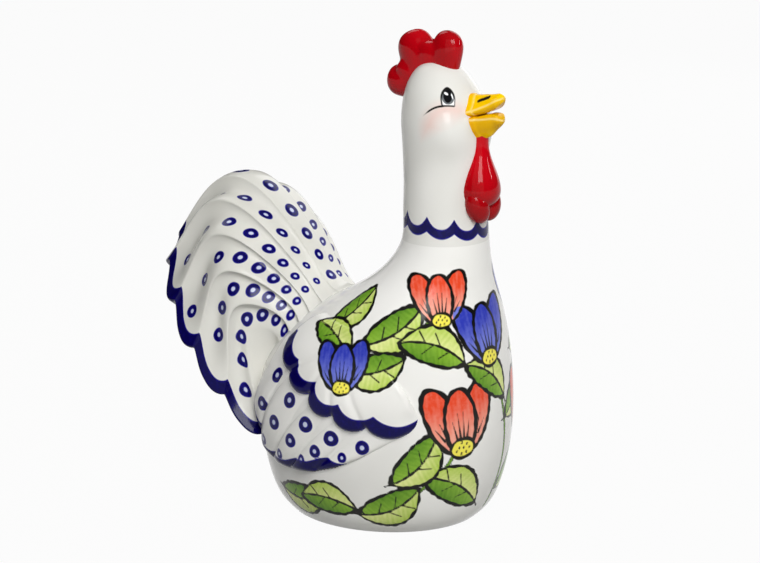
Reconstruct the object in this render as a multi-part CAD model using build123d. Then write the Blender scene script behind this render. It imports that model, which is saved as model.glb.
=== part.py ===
"""Hollow earthenware rooster ornament, built as the clay pieces that are luted together.

Millimetres, +Z up.  The rooster stands on its foot ring at Z = 0 and faces -Y, with its right side
towards -X.  The origin is on the floor, half way between the beak's tip and the tail's tip.
Places on the bird are written as (forward, right, up) from the middle of the foot.
"""
from build123d import *
import math
import os
from dataclasses import dataclass


@dataclass(frozen=True)
class Oval:
    """Level cross-section: how far it reaches forward, backward and to each side."""

    front: float
    back: float
    half_width: float

    def mixed(self, other, share, side_share):
        """Oval part of the way to another one, along the bird and across it."""
        return Oval(
            self.front + (other.front - self.front) * share,
            self.back + (other.back - self.back) * share,
            self.half_width + (other.half_width - self.half_width) * side_share,
        )

    def inset(self, wall):
        """Oval inside a wall of the given thickness."""
        return Oval(self.front - wall, self.back - wall, self.half_width - wall)

    def face(self, height):
        """Flat face of the oval at a height."""
        middle = (self.front - self.back) / 2
        depth = (self.front + self.back) / 2
        return Plane((0, -middle, height)) * Ellipse(self.half_width, depth)


# Body: three ovals, with the heights of the widest one and of the collar joint
FOOT_FRONT = 58.0
FOOT_BACK = 62.0
FOOT_HALF_WIDTH = 54.0
BELLY_FRONT = 78.5
BELLY_BACK = 82.0
BELLY_HALF_WIDTH = 70.0
BELLY_HEIGHT = 64.0
COLLAR_FRONT = 66.5
COLLAR_BACK = -16.0
COLLAR_HALF_WIDTH = 26.5
COLLAR_HEIGHT = 172.0

# Walls of the castings, and the floor that closes the foot
WALL = 5.0
FOOT_RECESS = 3.0
FLOOR_THICKNESS = 5.0
DRAIN_DIAMETER = 22.0

# Neck and head above the collar joint
FACE_FRONT = 65.0
FACE_BACK = -15.5
FACE_HALF_WIDTH = 25.5
NECK_LENGTH = 60.0
CROWN_RISE = 40.0
CROWN_LEAN = 0.13
CHEEK_RADIUS = 16.0
CHEEK_FORWARD = 45.5
CHEEK_APART = 16.0
CHEEK_UP = 8.0

# Tail: half the plume's outline from the root to the rim, as places behind and above the root
TAIL_ROOT_HEIGHT = 126.0
TAIL_RIDGE = ((6.0, -9.0), (-66.0, 108.0), (-88.0, 58.0), (-113.0, 22.0))
TAIL_AXIS = ((5.0, -20.0), (-62.0, 42.0), (-48.0, -11.0), (-54.0, -44.0))
TAIL_HALF_WIDTHS = (18.0, 70.0, 43.0, 62.0)
TAIL_FEATHERS = 11
TAIL_FEATHER_ANGLE = 22.9
TAIL_FLUTE_DEPTH = 4.0
TAIL_BACK_BULGE = 9.0
TAIL_SKIRTS = (45.0, 80.0, 80.0, 75.0)

# Wing: feathers laid on the flank between (forward, up) places
COVERT_FAN = (14.0, 116.0)
COVERT_TIPS = ((-32.0, 104.0), (-19.0, 89.0), (3.0, 75.0), (23.0, 67.0), (43.0, 63.0))
FLIGHT_ROOTS = ((-17.0, 111.0), (-4.0, 100.0), (10.0, 92.0), (27.0, 85.0), (44.0, 77.0))
FLIGHT_TIPS = ((-62.0, 54.0), (-53.0, 40.0), (-39.0, 33.0), (-22.0, 33.0), (4.0, 38.0))
COVERT_HALF_WIDTH = 13.5
FLIGHT_HALF_WIDTH = 12.5
FEATHER_HALF_DEPTH = 6.0
COVERT_RISE = 4.5
FLIGHT_RISE = 4.0

# Levels of the face and of the crown
FACE_LEVEL = COLLAR_HEIGHT + NECK_LENGTH
CROWN_LEVEL = FACE_LEVEL + CROWN_RISE

# Comb: three plump lobes and the web between them, each from a seat in the crown to a tip,
# as places behind the face and above the crown, with its half length along the bird
COMB_LOBES = (
    ((-28.0, -12.0), (-22.5, 21.5), 11.5),
    ((-38.0, -12.0), (-46.0, 20.5), 12.5),
    ((-40.0, -11.0), (-64.5, -9.0), 9.5),
    ((-34.0, -12.0), (-33.5, 14.5), 13.0),
)
COMB_HALF_THICKNESS = 7.5

# Beak: the root behind the face, and the levels of its mouth, top and bottom above the face level
BEAK_ROOT = 11.0
BEAK_SPAN = 26.0
BEAK_HALF_WIDTH = 11.0
MOUTH_UP = 17.0
MOUTH_GAP = 0.5
UPPER_BEAK_DEPTH = 11.5
LOWER_BEAK_DEPTH = 14.0

# Wattle: a pear lobe under the beak and two small lobes below it
PEAR_UP = 5.0
PEAR_LENGTH = 46.0
PEAR_FORWARD = 2.5
PEAR_HALF_WIDTH = 12.0
PEAR_HALF_DEPTH = 11.0
SMALL_LOBE_RADIUS = 9.0
SMALL_LOBE_APART = 10.0
SMALL_LOBE_UP = 3.5

FOOT = Oval(FOOT_FRONT, FOOT_BACK, FOOT_HALF_WIDTH)
BELLY = Oval(BELLY_FRONT, BELLY_BACK, BELLY_HALF_WIDTH)
COLLAR = Oval(COLLAR_FRONT, COLLAR_BACK, COLLAR_HALF_WIDTH)
FACE = Oval(FACE_FRONT, FACE_BACK, FACE_HALF_WIDTH)

# How far the belly has drawn in to the foot, by share of the height below the widest ring
FOOT_SWEEP = ((0.0, 1.0), (0.09, 0.68), (0.31, 0.30), (0.66, 0.065), (1.0, 0.0))
# How far it has drawn in to the collar above that ring: along the bird, and across it
NECK_SWEEP = (
    (0.20, 0.045, 0.035),
    (0.39, 0.195, 0.165),
    (0.57, 0.44, 0.39),
    (0.74, 0.76, 0.70),
    (0.88, 0.93, 0.91),
    (1.0, 1.0, 1.0),
)
WAIST_DRAW = 1.0
NECK_SHARES = (0.0, 0.08, 0.3, 0.65, 1.0)
CROWN_ANGLES = (19.0, 37.0, 54.0, 70.0, 81.0)
# Stations of the plume, closer near both ends so that it stays fair; the last is past the rim
TAIL_STATIONS = (0.0, 0.05, 0.2, 0.45, 0.75, 1.0, 1.14)
TAIL_HOLLOW_STATIONS = (0.32, 0.47, 0.62, 0.77, 0.92)
TAIL_SKIRT_SHARE = 0.65
# Sections along a feather or lobe: share of its length, of its width, and of its rise
FLIGHT_FORM = ((0.0, 0.85, 0.1), (0.3, 1.0, 0.5), (0.6, 1.0, 0.85), (0.9, 0.85, 1.0), (1.0, 0.5, -0.4))
COVERT_FORM = ((0.0, 0.5, -0.4), (0.4, 0.75, 0.2), (0.75, 1.0, 0.8), (0.92, 0.85, 1.0), (1.0, 0.5, -0.4))
LOBE_FORM = ((0.0, 0.9), (0.3, 1.0), (0.62, 1.0), (0.8, 0.92), (0.92, 0.7), (0.98, 0.4), (1.0, 0.1))
PEAR_FORM = ((0.0, 0.42), (0.2, 0.46), (0.45, 0.72), (0.65, 0.94), (0.8, 1.0), (0.92, 0.76), (0.98, 0.4), (1.0, 0.1))
# Sections along the beak: share of its span and width, then the mouth edge and keel by share of depth
UPPER_BEAK_FORM = ((0.0, 1.0, 0.0), (0.35, 0.9, 0.05), (0.6, 0.7, 0.14), (0.85, 0.5, 0.28), (1.0, 0.26, 0.6))
LOWER_BEAK_FORM = (
    (0.0, 1.0, 0.0, 1.0),
    (0.35, 0.9, -0.05, 0.96),
    (0.6, 0.72, -0.12, 0.83),
    (0.85, 0.5, -0.21, 0.5),
    (1.0, 0.24, 0.0, 0.28),
)


def at(forward, right, up):
    """Point of the bird in the model's own axes."""
    return Vector(-right, -forward, up)


def curve_value(controls, share):
    """Value of a cubic curve of four control values."""
    rest = 1 - share
    weights = (rest**3, 3 * rest**2 * share, 3 * rest * share**2, share**3)
    return sum(weight * value for weight, value in zip(weights, controls))


def body_rings():
    """Heights and ovals of the body from the foot to the collar."""
    rings = [(BELLY_HEIGHT * rise, BELLY.mixed(FOOT, draw, draw)) for rise, draw in FOOT_SWEEP]
    for rise, draw, side_draw in NECK_SWEEP:
        height = BELLY_HEIGHT + (COLLAR_HEIGHT - BELLY_HEIGHT) * rise
        rings.append((height, BELLY.mixed(COLLAR, draw, side_draw)))
    return rings


def head_rings():
    """Heights and ovals of the neck and head from the collar to the crown."""
    rings = []
    for share in NECK_SHARES:
        waist = WAIST_DRAW * math.sin(math.pi * share)
        rings.append((COLLAR_HEIGHT + NECK_LENGTH * share, COLLAR.mixed(FACE, share, share).inset(waist)))
    middle = (FACE.front - FACE.back) / 2
    depth = (FACE.front + FACE.back) / 2
    for degrees in CROWN_ANGLES:
        rise = CROWN_RISE * math.sin(math.radians(degrees))
        spread = math.cos(math.radians(degrees))
        centre = middle - CROWN_LEAN * rise
        oval = Oval(centre + depth * spread, depth * spread - centre, FACE.half_width * spread)
        rings.append((FACE_LEVEL + rise, oval))
    return rings


def lofted(rings):
    """Solid through a stack of ovals."""
    return loft([oval.face(height) for height, oval in rings])


def body_hollow():
    """Space inside the body wall, open at the foot and at the collar."""
    return lofted([(height, oval.inset(WALL)) for height, oval in body_rings()])


def head_outside():
    """Neck, head and cheeks as one outer form."""
    form = lofted(head_rings())
    for side in (1, -1):
        place = at(CHEEK_FORWARD, side * CHEEK_APART / 2, FACE_LEVEL + CHEEK_UP)
        form += Pos(place) * Sphere(CHEEK_RADIUS)
    return form


def head_hollow():
    """Space inside the neck and head."""
    rings = [(height, oval.inset(WALL)) for height, oval in head_rings()]
    return lofted([(height, oval) for height, oval in rings if oval.half_width > WALL])


def tail_frame(share):
    """Centre, ridge arm and side arm of the plume's arch at a station."""
    root = ring_back(TAIL_ROOT_HEIGHT)
    ridge = [curve_value([point[i] for point in TAIL_RIDGE], share) for i in (0, 1)]
    axis = [curve_value([point[i] for point in TAIL_AXIS], share) for i in (0, 1)]
    centre = at(root + axis[0], 0, TAIL_ROOT_HEIGHT + axis[1])
    crown = at(root + ridge[0], 0, TAIL_ROOT_HEIGHT + ridge[1])
    side = at(0, curve_value(TAIL_HALF_WIDTHS, share), 0)
    return centre, crown - centre, side


def ring_back(height):
    """Where the back of the body lies on the middle line at a height."""
    rings = body_rings()
    for (low, under), (high, over) in zip(rings, rings[1:]):
        if low <= height <= high:
            share = (height - low) / (high - low)
            return -(under.back + (over.back - under.back) * share)
    return -rings[-1][1].back


def arch_point(frame, degrees, scale):
    """Point of an arch, by the angle from its ridge."""
    centre, ridge, side = frame
    turn = math.radians(degrees)
    return centre + ridge * (scale * math.cos(turn)) + side * (scale * math.sin(turn))


def fluted_face(frame, inset, skirt):
    """Arch of one rounded lobe for each feather, with a skirt that reaches down into the body."""
    centre, ridge, side = frame
    crest = 1 - inset / max(ridge.length, side.length)
    valley = crest - TAIL_FLUTE_DEPTH / TAIL_HALF_WIDTHS[-1]
    edge_angle = TAIL_FEATHERS * TAIL_FEATHER_ANGLE / 2
    edges = []
    for index in range(TAIL_FEATHERS):
        start = index * TAIL_FEATHER_ANGLE - edge_angle
        lobe_points = (
            arch_point(frame, start, valley),
            arch_point(frame, start + TAIL_FEATHER_ANGLE / 2, crest),
            arch_point(frame, start + TAIL_FEATHER_ANGLE, valley),
        )
        edges.append(Edge.make_three_point_arc(*lobe_points))
    foot = centre - ridge.normalized() * (skirt - inset)
    corners = [
        arch_point(frame, edge_angle, valley),
        foot + side * (TAIL_SKIRT_SHARE * crest),
        foot - side * (TAIL_SKIRT_SHARE * crest),
        arch_point(frame, -edge_angle, valley),
    ]
    edges += [Edge.make_line(a, b) for a, b in zip(corners, corners[1:])]
    return make_face(edges)


def tail_loft(stations, wall):
    """Fluted plume through the arches at the given stations."""
    faces = []
    for share in stations:
        faces.append(fluted_face(tail_frame(share), wall, curve_value(TAIL_SKIRTS, share)))
    return loft(faces)


def tail_outside():
    """Fluted plume with a gently domed back between its feather tips."""
    plume = tail_loft(TAIL_STATIONS, 0)
    centre, ridge, side = tail_frame(1.0)
    onward = side.cross(ridge).normalized()
    radius = (ridge.length**2 + TAIL_BACK_BULGE**2) / (2 * TAIL_BACK_BULGE)
    return plume & Pos(centre + onward * (TAIL_BACK_BULGE - radius)) * Sphere(radius)


def feather(skin, start, end, half_width, rise, form):
    """One raised feather laid along the right flank from one (forward, up) place to another."""
    spots = []
    for share, _, _ in form:
        forward = start[0] + (end[0] - start[0]) * share
        up = start[1] + (end[1] - start[1]) * share
        hits = skin.find_intersection_points(Axis(at(forward, 2 * BELLY_HALF_WIDTH, up), (1, 0, 0)))
        spots.append(min(hits, key=lambda hit: hit[0].X))
    chord = (spots[-1][0] - spots[0][0]).normalized()
    faces = []
    for (spot, normal), (_, width, lift) in zip(spots, form):
        outward = normal if normal.X < 0 else normal * -1
        centre = spot - outward * (FEATHER_HALF_DEPTH - rise * lift)
        plane = Plane(centre, x_dir=chord.cross(outward), z_dir=chord)
        faces.append(plane * Ellipse(half_width * width, FEATHER_HALF_DEPTH))
    return loft(faces)


def wing(body):
    """Right wing: flight feathers under a fan of coverts, seated on the flank."""
    skin = max(body.faces(), key=lambda face: face.area)
    feathers = []
    for root, tip in zip(FLIGHT_ROOTS, FLIGHT_TIPS):
        feathers.append(feather(skin, root, tip, FLIGHT_HALF_WIDTH, FLIGHT_RISE, FLIGHT_FORM))
    for tip in COVERT_TIPS:
        feathers.append(feather(skin, COVERT_FAN, tip, COVERT_HALF_WIDTH, COVERT_RISE, COVERT_FORM))
    return feathers[0] + feathers[1:] - body


def lobe(start, end, half_width, half_depth, form):
    """Plump lobe of oval sections along a straight line in the bird's middle plane."""
    line = end - start
    direction = line.normalized()
    faces = []
    for share, size in form:
        plane = Plane(start + line * share, x_dir=(1, 0, 0), z_dir=direction)
        faces.append(plane * Ellipse(half_width * size, half_depth * size))
    return loft(faces)


def comb(head):
    """Three plump lobes seated on the crown."""
    lobes = []
    for seat, tip, half_length in COMB_LOBES:
        start = at(FACE_FRONT + seat[0], 0, CROWN_LEVEL + seat[1])
        end = at(FACE_FRONT + tip[0], 0, CROWN_LEVEL + tip[1])
        lobes.append(lobe(start, end, COMB_HALF_THICKNESS, half_length, LOBE_FORM))
    return lobes[0] + lobes[1:] - head


def beak_face(forward, half_width, flat_up, arch_up):
    """Section of a beak half: a flat mouth side and an arched outer side."""
    left = at(forward, -half_width, flat_up)
    right = at(forward, half_width, flat_up)
    arch = Edge.make_three_point_arc(left, at(forward, 0, arch_up), right)
    return make_face([arch, Edge.make_line(right, left)])


def upper_beak(head):
    """Upper half of the beak: level on top, its mouth edge hooking up to the tip."""
    mouth = FACE_LEVEL + MOUTH_UP
    faces = []
    for share, size, edge in UPPER_BEAK_FORM:
        forward = FACE_FRONT - BEAK_ROOT + BEAK_SPAN * share
        flat = mouth + UPPER_BEAK_DEPTH * edge
        crest = mouth + UPPER_BEAK_DEPTH - MOUTH_GAP * share
        faces.append(beak_face(forward, BEAK_HALF_WIDTH * size, flat, crest))
    return loft(faces) - head


def lower_beak(head):
    """Lower half of the beak: level along the mouth, its keel curving up to the tip."""
    mouth = FACE_LEVEL + MOUTH_UP - MOUTH_GAP
    faces = []
    for share, size, edge, depth in LOWER_BEAK_FORM:
        forward = FACE_FRONT - BEAK_ROOT + BEAK_SPAN * share
        flat = mouth - LOWER_BEAK_DEPTH * edge
        keel = mouth - LOWER_BEAK_DEPTH * depth
        faces.append(beak_face(forward, BEAK_HALF_WIDTH * size, flat, keel))
    return loft(faces) - head


def wattle_pear():
    """Pear lobe that hangs down the throat."""
    top = at(FACE_FRONT + PEAR_FORWARD, 0, FACE_LEVEL + PEAR_UP)
    bottom = top - Vector(0, 0, PEAR_LENGTH)
    return lobe(top, bottom, PEAR_HALF_WIDTH, PEAR_HALF_DEPTH, PEAR_FORM)


def small_wattle(head, pear):
    """Right small lobe, flat against its fellow on the middle plane."""
    level = FACE_LEVEL + PEAR_UP - PEAR_LENGTH + SMALL_LOBE_UP
    ball = Pos(at(FACE_FRONT + PEAR_FORWARD, SMALL_LOBE_APART / 2, level)) * Sphere(SMALL_LOBE_RADIUS)
    right_side = Pos(-2 * SMALL_LOBE_RADIUS, 0, 0) * Box(4 * SMALL_LOBE_RADIUS, 4 * BELLY_FRONT, 4 * CROWN_LEVEL)
    return (ball & right_side) - head - pear


os.makedirs("parts", exist_ok=True)

body_form = lofted(body_rings())
body_space = body_hollow()
floor_level = FOOT_RECESS + FLOOR_THICKNESS / 2
floor_slab = Pos(0, 0, floor_level) * Box(4 * BELLY_HALF_WIDTH, 4 * BELLY_BACK, FLOOR_THICKNESS)
drain = Pos(0, 0, floor_level) * Cylinder(DRAIN_DIAMETER / 2, 2 * FLOOR_THICKNESS)
head_form = head_outside()
right_wing = wing(body_form)
left_wing = mirror(right_wing, about=Plane.YZ)
lower_bill = lower_beak(head_form)
pear = wattle_pear()
right_wattle = small_wattle(head_form, pear)

pieces = {
    "body_shell": body_form - body_space,
    "base_disc": (body_space & floor_slab) - drain,
    "head_shell": head_form - head_hollow(),
    "tail_shell": tail_outside() - body_form - tail_loft(TAIL_HOLLOW_STATIONS, WALL) - right_wing - left_wing,
    "right_wing": right_wing,
    "left_wing": left_wing,
    "comb": comb(head_form),
    "upper_beak": upper_beak(head_form),
    "lower_beak": lower_bill,
    "front_wattle": pear - [head_form, lower_bill],
    "right_wattle": right_wattle,
    "left_wattle": mirror(right_wattle, about=Plane.YZ),
}
beak_tip = FACE_FRONT - BEAK_ROOT + BEAK_SPAN
tail_tip = ring_back(TAIL_ROOT_HEIGHT) + TAIL_RIDGE[-1][0]
to_origin = Pos(0, (beak_tip + tail_tip) / 2, 0)
for name, piece in pieces.items():
    export_step(to_origin * piece, f"parts/{name}.step")
    print(name, "solids", len(piece.solids()), "volume", round(piece.volume / 1000, 1), "cm3")
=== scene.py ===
"""Hollow earthenware rooster ornament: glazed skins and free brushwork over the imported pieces.

Places on the bird are (forward, right, up) in millimetres from the middle of its foot.
"""

import logging
import math
from dataclasses import dataclass, field
from enum import Enum
from typing import ClassVar

import bmesh
import bpy
import numpy as np
from bpy.types import ID, Material, Node, NodeSocket, NodeTree, Object, Scene
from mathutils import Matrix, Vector

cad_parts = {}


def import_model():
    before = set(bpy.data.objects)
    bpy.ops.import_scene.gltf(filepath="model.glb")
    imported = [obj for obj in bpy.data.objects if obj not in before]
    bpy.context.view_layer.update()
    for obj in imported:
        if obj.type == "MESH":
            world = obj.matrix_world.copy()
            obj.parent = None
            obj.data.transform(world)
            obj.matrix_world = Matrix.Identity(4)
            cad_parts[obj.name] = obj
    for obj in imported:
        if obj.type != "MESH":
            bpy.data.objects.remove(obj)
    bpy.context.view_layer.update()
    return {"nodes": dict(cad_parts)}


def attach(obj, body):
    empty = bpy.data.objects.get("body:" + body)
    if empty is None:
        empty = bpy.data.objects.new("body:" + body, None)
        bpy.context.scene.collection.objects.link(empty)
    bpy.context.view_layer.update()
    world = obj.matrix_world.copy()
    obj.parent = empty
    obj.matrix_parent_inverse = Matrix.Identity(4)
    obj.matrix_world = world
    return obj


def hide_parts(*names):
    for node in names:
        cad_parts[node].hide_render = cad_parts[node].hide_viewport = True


LOG = logging.getLogger("rooster")
Array = np.ndarray

MM = 0.001
ORIGIN_BACK = 35.94  # the model's origin lies this far behind the middle of the foot, mm
FAR = 40.0  # a distance that counts as out of reach of the brush, mm
TINY = 1e-6  # a length that counts as none
EVEN_WASH = 0.6  # how full the brush is where no stroke sets it
WASH_MARGIN = 0.5  # a cobalt stroke sets it this far outside its edge, mm
SHARP_ANGLE = math.radians(50)  # edges that turn more than this stay sharp
UP = np.array([0.0, 0.0, 1.0])


class Side(Enum):
    """Side of the bird, with the sign of its places to the right."""

    RIGHT = 1
    LEFT = -1

    @property
    def word(self) -> str:
        """Word for the side in the names of pieces."""
        return self.name.lower()


class Paint(Enum):
    """Colour of the brush, by the name of the measure that a skin holds for it."""

    CORAL = "coral"
    BLUE = "blue"
    YELLOW = "yellow"
    LEAF = "leaf"
    LEAF_SHADE = "leaf_shade"
    INK = "ink"
    COBALT = "cobalt"
    MILK = "milk"


def to_model(points: Array) -> Array:
    """Turn places on the bird, in mm, into model x, y and z in metres."""
    forward, right, up = points[..., 0], points[..., 1], points[..., 2]
    return np.stack([-right, -forward - ORIGIN_BACK, up], axis=-1) * MM


def linear(hex_colour: str) -> tuple[float, float, float, float]:
    """Turn an sRGB hex colour into the linear colour that a socket takes.

    Args:
        hex_colour: Colour such as "#ecebe7".

    Returns:
        Linear red, green, blue and an alpha of 1.
    """
    channels = [int(hex_colour[i : i + 2], 16) / 255 for i in (1, 3, 5)]
    lit = [c / 12.92 if c <= 0.04045 else ((c + 0.055) / 1.055) ** 2.4 for c in channels]
    return (lit[0], lit[1], lit[2], 1.0)


def smooth_step(low: float, high: float, value: Array) -> Array:
    """Ease from 0 to 1 between two values, of which the second may be the smaller one."""
    share = np.clip((value - low) / (high - low), 0, 1)
    return share * share * (3 - 2 * share)


def bell(distance: Array, width: float) -> Array:
    """Share that falls from one as a distance grows, to about a third at the width."""
    return np.exp(-((distance / width) ** 2))


def quarter_round(share: Array) -> Array:
    """Height of a rounded edge of height one, by the share of the way in from it."""
    return np.sqrt(1 - (1 - share) ** 2)


def unit(vectors: Array, least: float = TINY) -> Array:
    """Directions of vectors; those under the least length stay shorter than one."""
    return vectors / np.maximum(np.linalg.norm(vectors, axis=-1, keepdims=True), least)


def up_slope(outward: Array) -> Array:
    """Direction that climbs a slope straight up, from the slope's outward direction."""
    return unit(UP - outward * outward[2])


def mirrored(points: Array) -> Array:
    """Places with the left side of the bird folded on the right one."""
    return np.stack([points[..., 0], np.abs(points[..., 1]), points[..., 2]], axis=-1)


def run_lengths(points: Array) -> Array:
    """Length along a line of points, from its first point to each."""
    return np.concatenate([[0], np.cumsum(np.linalg.norm(np.diff(points, axis=0), axis=1))])


def full_turn(columns: int) -> Array:
    """Bearings of columns that stand once round a piece, radians."""
    return np.linspace(0, 2 * math.pi, columns, endpoint=False)


def turned(a: Array, b: Array, turn: float) -> tuple[Array, Array]:
    """Places across and along, on axes that are turned to the left by some radians."""
    return a * math.cos(turn) + b * math.sin(turn), b * math.cos(turn) - a * math.sin(turn)


class Spline:
    """Curve through values at rising knots, with no jump in its bending."""

    def __init__(self, knots: Array, values: Array) -> None:
        """Solve for the bending at each knot.

        Args:
            knots: Rising positions.
            values: Values there, one row for each knot.
        """
        self.knots = np.asarray(knots, float)
        self.values = np.asarray(values, float).reshape(len(self.knots), -1)
        gap = np.diff(self.knots)
        count = len(self.knots)
        matrix = np.eye(count)
        known = np.zeros_like(self.values)
        for i in range(1, count - 1):
            matrix[i, i - 1 : i + 2] = gap[i - 1], 2 * (gap[i - 1] + gap[i]), gap[i]
            rise = (self.values[i + 1] - self.values[i]) / gap[i]
            known[i] = 6 * (rise - (self.values[i] - self.values[i - 1]) / gap[i - 1])
        self.bends = np.linalg.solve(matrix, known)

    def __call__(self, at: Array) -> Array:
        """Read the curve.

        Args:
            at: Positions between the first and last knot.

        Returns:
            One row of values for each position.
        """
        at = np.atleast_1d(np.asarray(at, float))
        i = np.clip(np.searchsorted(self.knots, at) - 1, 0, len(self.knots) - 2)
        gap = (self.knots[i + 1] - self.knots[i])[:, None]
        after = at[:, None] - self.knots[i][:, None]
        before = gap - after
        bend = (self.bends[i] * before**3 + self.bends[i + 1] * after**3) / (6 * gap)
        start = (self.values[i] / gap - self.bends[i] * gap / 6) * before
        return bend + start + (self.values[i + 1] / gap - self.bends[i + 1] * gap / 6) * after


def bezier(controls: tuple, share: Array) -> Array:
    """Read a cubic curve of four controls.

    Args:
        controls: Four values or four points.
        share: Shares of the way along it.

    Returns:
        One value or point for each share.
    """
    points = np.asarray(controls, float).reshape(4, -1)
    t = np.asarray(share, float)[:, None]
    rest = 1 - t
    curve = rest**3 * points[0] + 3 * rest**2 * t * points[1]
    return curve + 3 * rest * t**2 * points[2] + t**3 * points[3]


def ellipse(a: Array, b: Array, wide: float, high: float, tilt: float = 0.0) -> Array:
    """Signed distance to an ellipse about the origin, close enough near its edge.

    Args:
        a: Places across, mm.
        b: Places along, mm.
        wide: Half width, mm.
        high: Half height, mm.
        tilt: Turn to the left, radians.

    Returns:
        Distances in mm, negative inside.
    """
    across, along = turned(a, b, tilt)
    near = np.hypot(across / wide, along / high)
    slope = np.hypot(across / wide**2, along / high**2)
    return near * (near - 1) / np.maximum(slope, TINY)


def ovals(a: Array, b: Array, *shapes: tuple) -> Array:
    """Signed distance to ellipses of (across, along, half width, half height, tilt)."""
    return np.minimum.reduce([ellipse(a - shape[0], b - shape[1], *shape[2:]) for shape in shapes])


def segment(a: Array, b: Array, start: tuple | Array, end: tuple | Array) -> Array:
    """Distance to a straight stroke.

    Args:
        a: Places across, mm.
        b: Places along, mm.
        start: First end of the stroke.
        end: Second end of the stroke.

    Returns:
        Distances in mm.
    """
    across, along = end[0] - start[0], end[1] - start[1]
    share = ((a - start[0]) * across + (b - start[1]) * along) / (across**2 + along**2)
    share = np.clip(share, 0, 1)
    return np.hypot(a - start[0] - share * across, b - start[1] - share * along)


def polyline(a: Array, b: Array, corners: Array) -> Array:
    """Distance to straight strokes from each corner to the next, mm."""
    return np.minimum.reduce([segment(a, b, *ends) for ends in zip(corners, corners[1:])])


def polygon(a: Array, b: Array, corners: Array) -> Array:
    """Signed distance to a closed outline of straight runs.

    Args:
        a: Places across, mm.
        b: Places along, mm.
        corners: Corners in order, one (a, b) row each.

    Returns:
        Distances in mm, negative inside.
    """
    closed = np.concatenate([corners, corners[:1]])
    inside = np.zeros(a.shape, bool)
    for start, end in zip(closed, closed[1:]):
        if start[1] != end[1]:
            crossing = start[0] + (b - start[1]) / (end[1] - start[1]) * (end[0] - start[0])
            inside ^= ((start[1] > b) != (end[1] > b)) & (a < crossing)
    return polyline(a, b, closed) * np.where(inside, -1, 1)


def add(tree: NodeTree, kind: str, inputs: dict | None = None, **settings: object) -> Node:
    """Add a node with its settings, values and links.

    Args:
        tree: Tree that gets the node.
        kind: Type name of the node.
        inputs: Input name or index, with a value or the socket to link from.
        settings: Properties of the node.

    Returns:
        The new node.
    """
    node = tree.nodes.new(kind)
    for key, value in settings.items():
        setattr(node, key, value)
    for key, value in (inputs or {}).items():
        if isinstance(value, NodeSocket):
            tree.links.new(value, node.inputs[key])
        else:
            node.inputs[key].default_value = value
    return node


def sums(tree: NodeTree, operation: str, *terms: NodeSocket | float) -> NodeSocket:
    """Work out one operation on values."""
    return add(tree, "ShaderNodeMath", dict(enumerate(terms)), operation=operation).outputs[0]


def ramp(tree: NodeTree, value: NodeSocket, *limits: float, ease: str = "LINEAR") -> NodeSocket:
    """Take a value from one range to another: its low and high, then the new low and high."""
    inputs = dict(enumerate((value, *limits)))
    return add(tree, "ShaderNodeMapRange", inputs, interpolation_type=ease).outputs[0]


def blend(tree: NodeTree, share: NodeSocket, *colours: NodeSocket | tuple) -> NodeSocket:
    """Mix a first colour with a second one by a share."""
    inputs = {0: share, 6: colours[0], 7: colours[1]}
    return add(tree, "ShaderNodeMix", inputs, data_type="RGBA").outputs[2]


def noise(tree: NodeTree, place: NodeSocket, size: float, detail: float) -> NodeSocket:
    """Cloudy values with a grain of some millimetres."""
    inputs = {"Vector": place, "Scale": 1 / (size * MM), "Detail": detail}
    return add(tree, "ShaderNodeTexNoise", inputs).outputs["Fac"]


def held(tree: NodeTree, measure: str) -> NodeSocket:
    """Read a painted measure of the piece."""
    return add(tree, "ShaderNodeAttribute", attribute_name=measure).outputs["Fac"]


def cleared(owner: ID) -> NodeTree:
    """Give a material or world an empty node tree.

    Args:
        owner: New material or world.

    Returns:
        Its tree.
    """
    owner.use_nodes = True
    owner.node_tree.nodes.clear()
    return owner.node_tree


@dataclass(frozen=True)
class Brush:
    """One brushed colour: where a measure is under zero, thin to full by the wash."""

    measure: str
    full: str
    thin: str
    edge: float = 0.35
    strength: float = 1.0
    grain: float = 0.45

    def over(self, tree: NodeTree, under: NodeSocket, bristles: NodeSocket) -> NodeSocket:
        """Lay the colour over what is under it.

        Args:
            tree: The material's tree.
            under: Colour so far.
            bristles: Bristle grain from 0 to 1.

        Returns:
            The colour with the stroke on it.
        """
        edges = (self.edge, -self.edge, 0.0, self.strength)
        mask = ramp(tree, held(tree, self.measure), *edges, ease="SMOOTHSTEP")
        stirred = sums(tree, "MULTIPLY_ADD", bristles, self.grain, held(tree, "wash"))
        depth = ramp(tree, stirred, self.grain / 2, 1 + self.grain / 2)
        return blend(tree, mask, under, blend(tree, depth, linear(self.thin), linear(self.full)))


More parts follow.
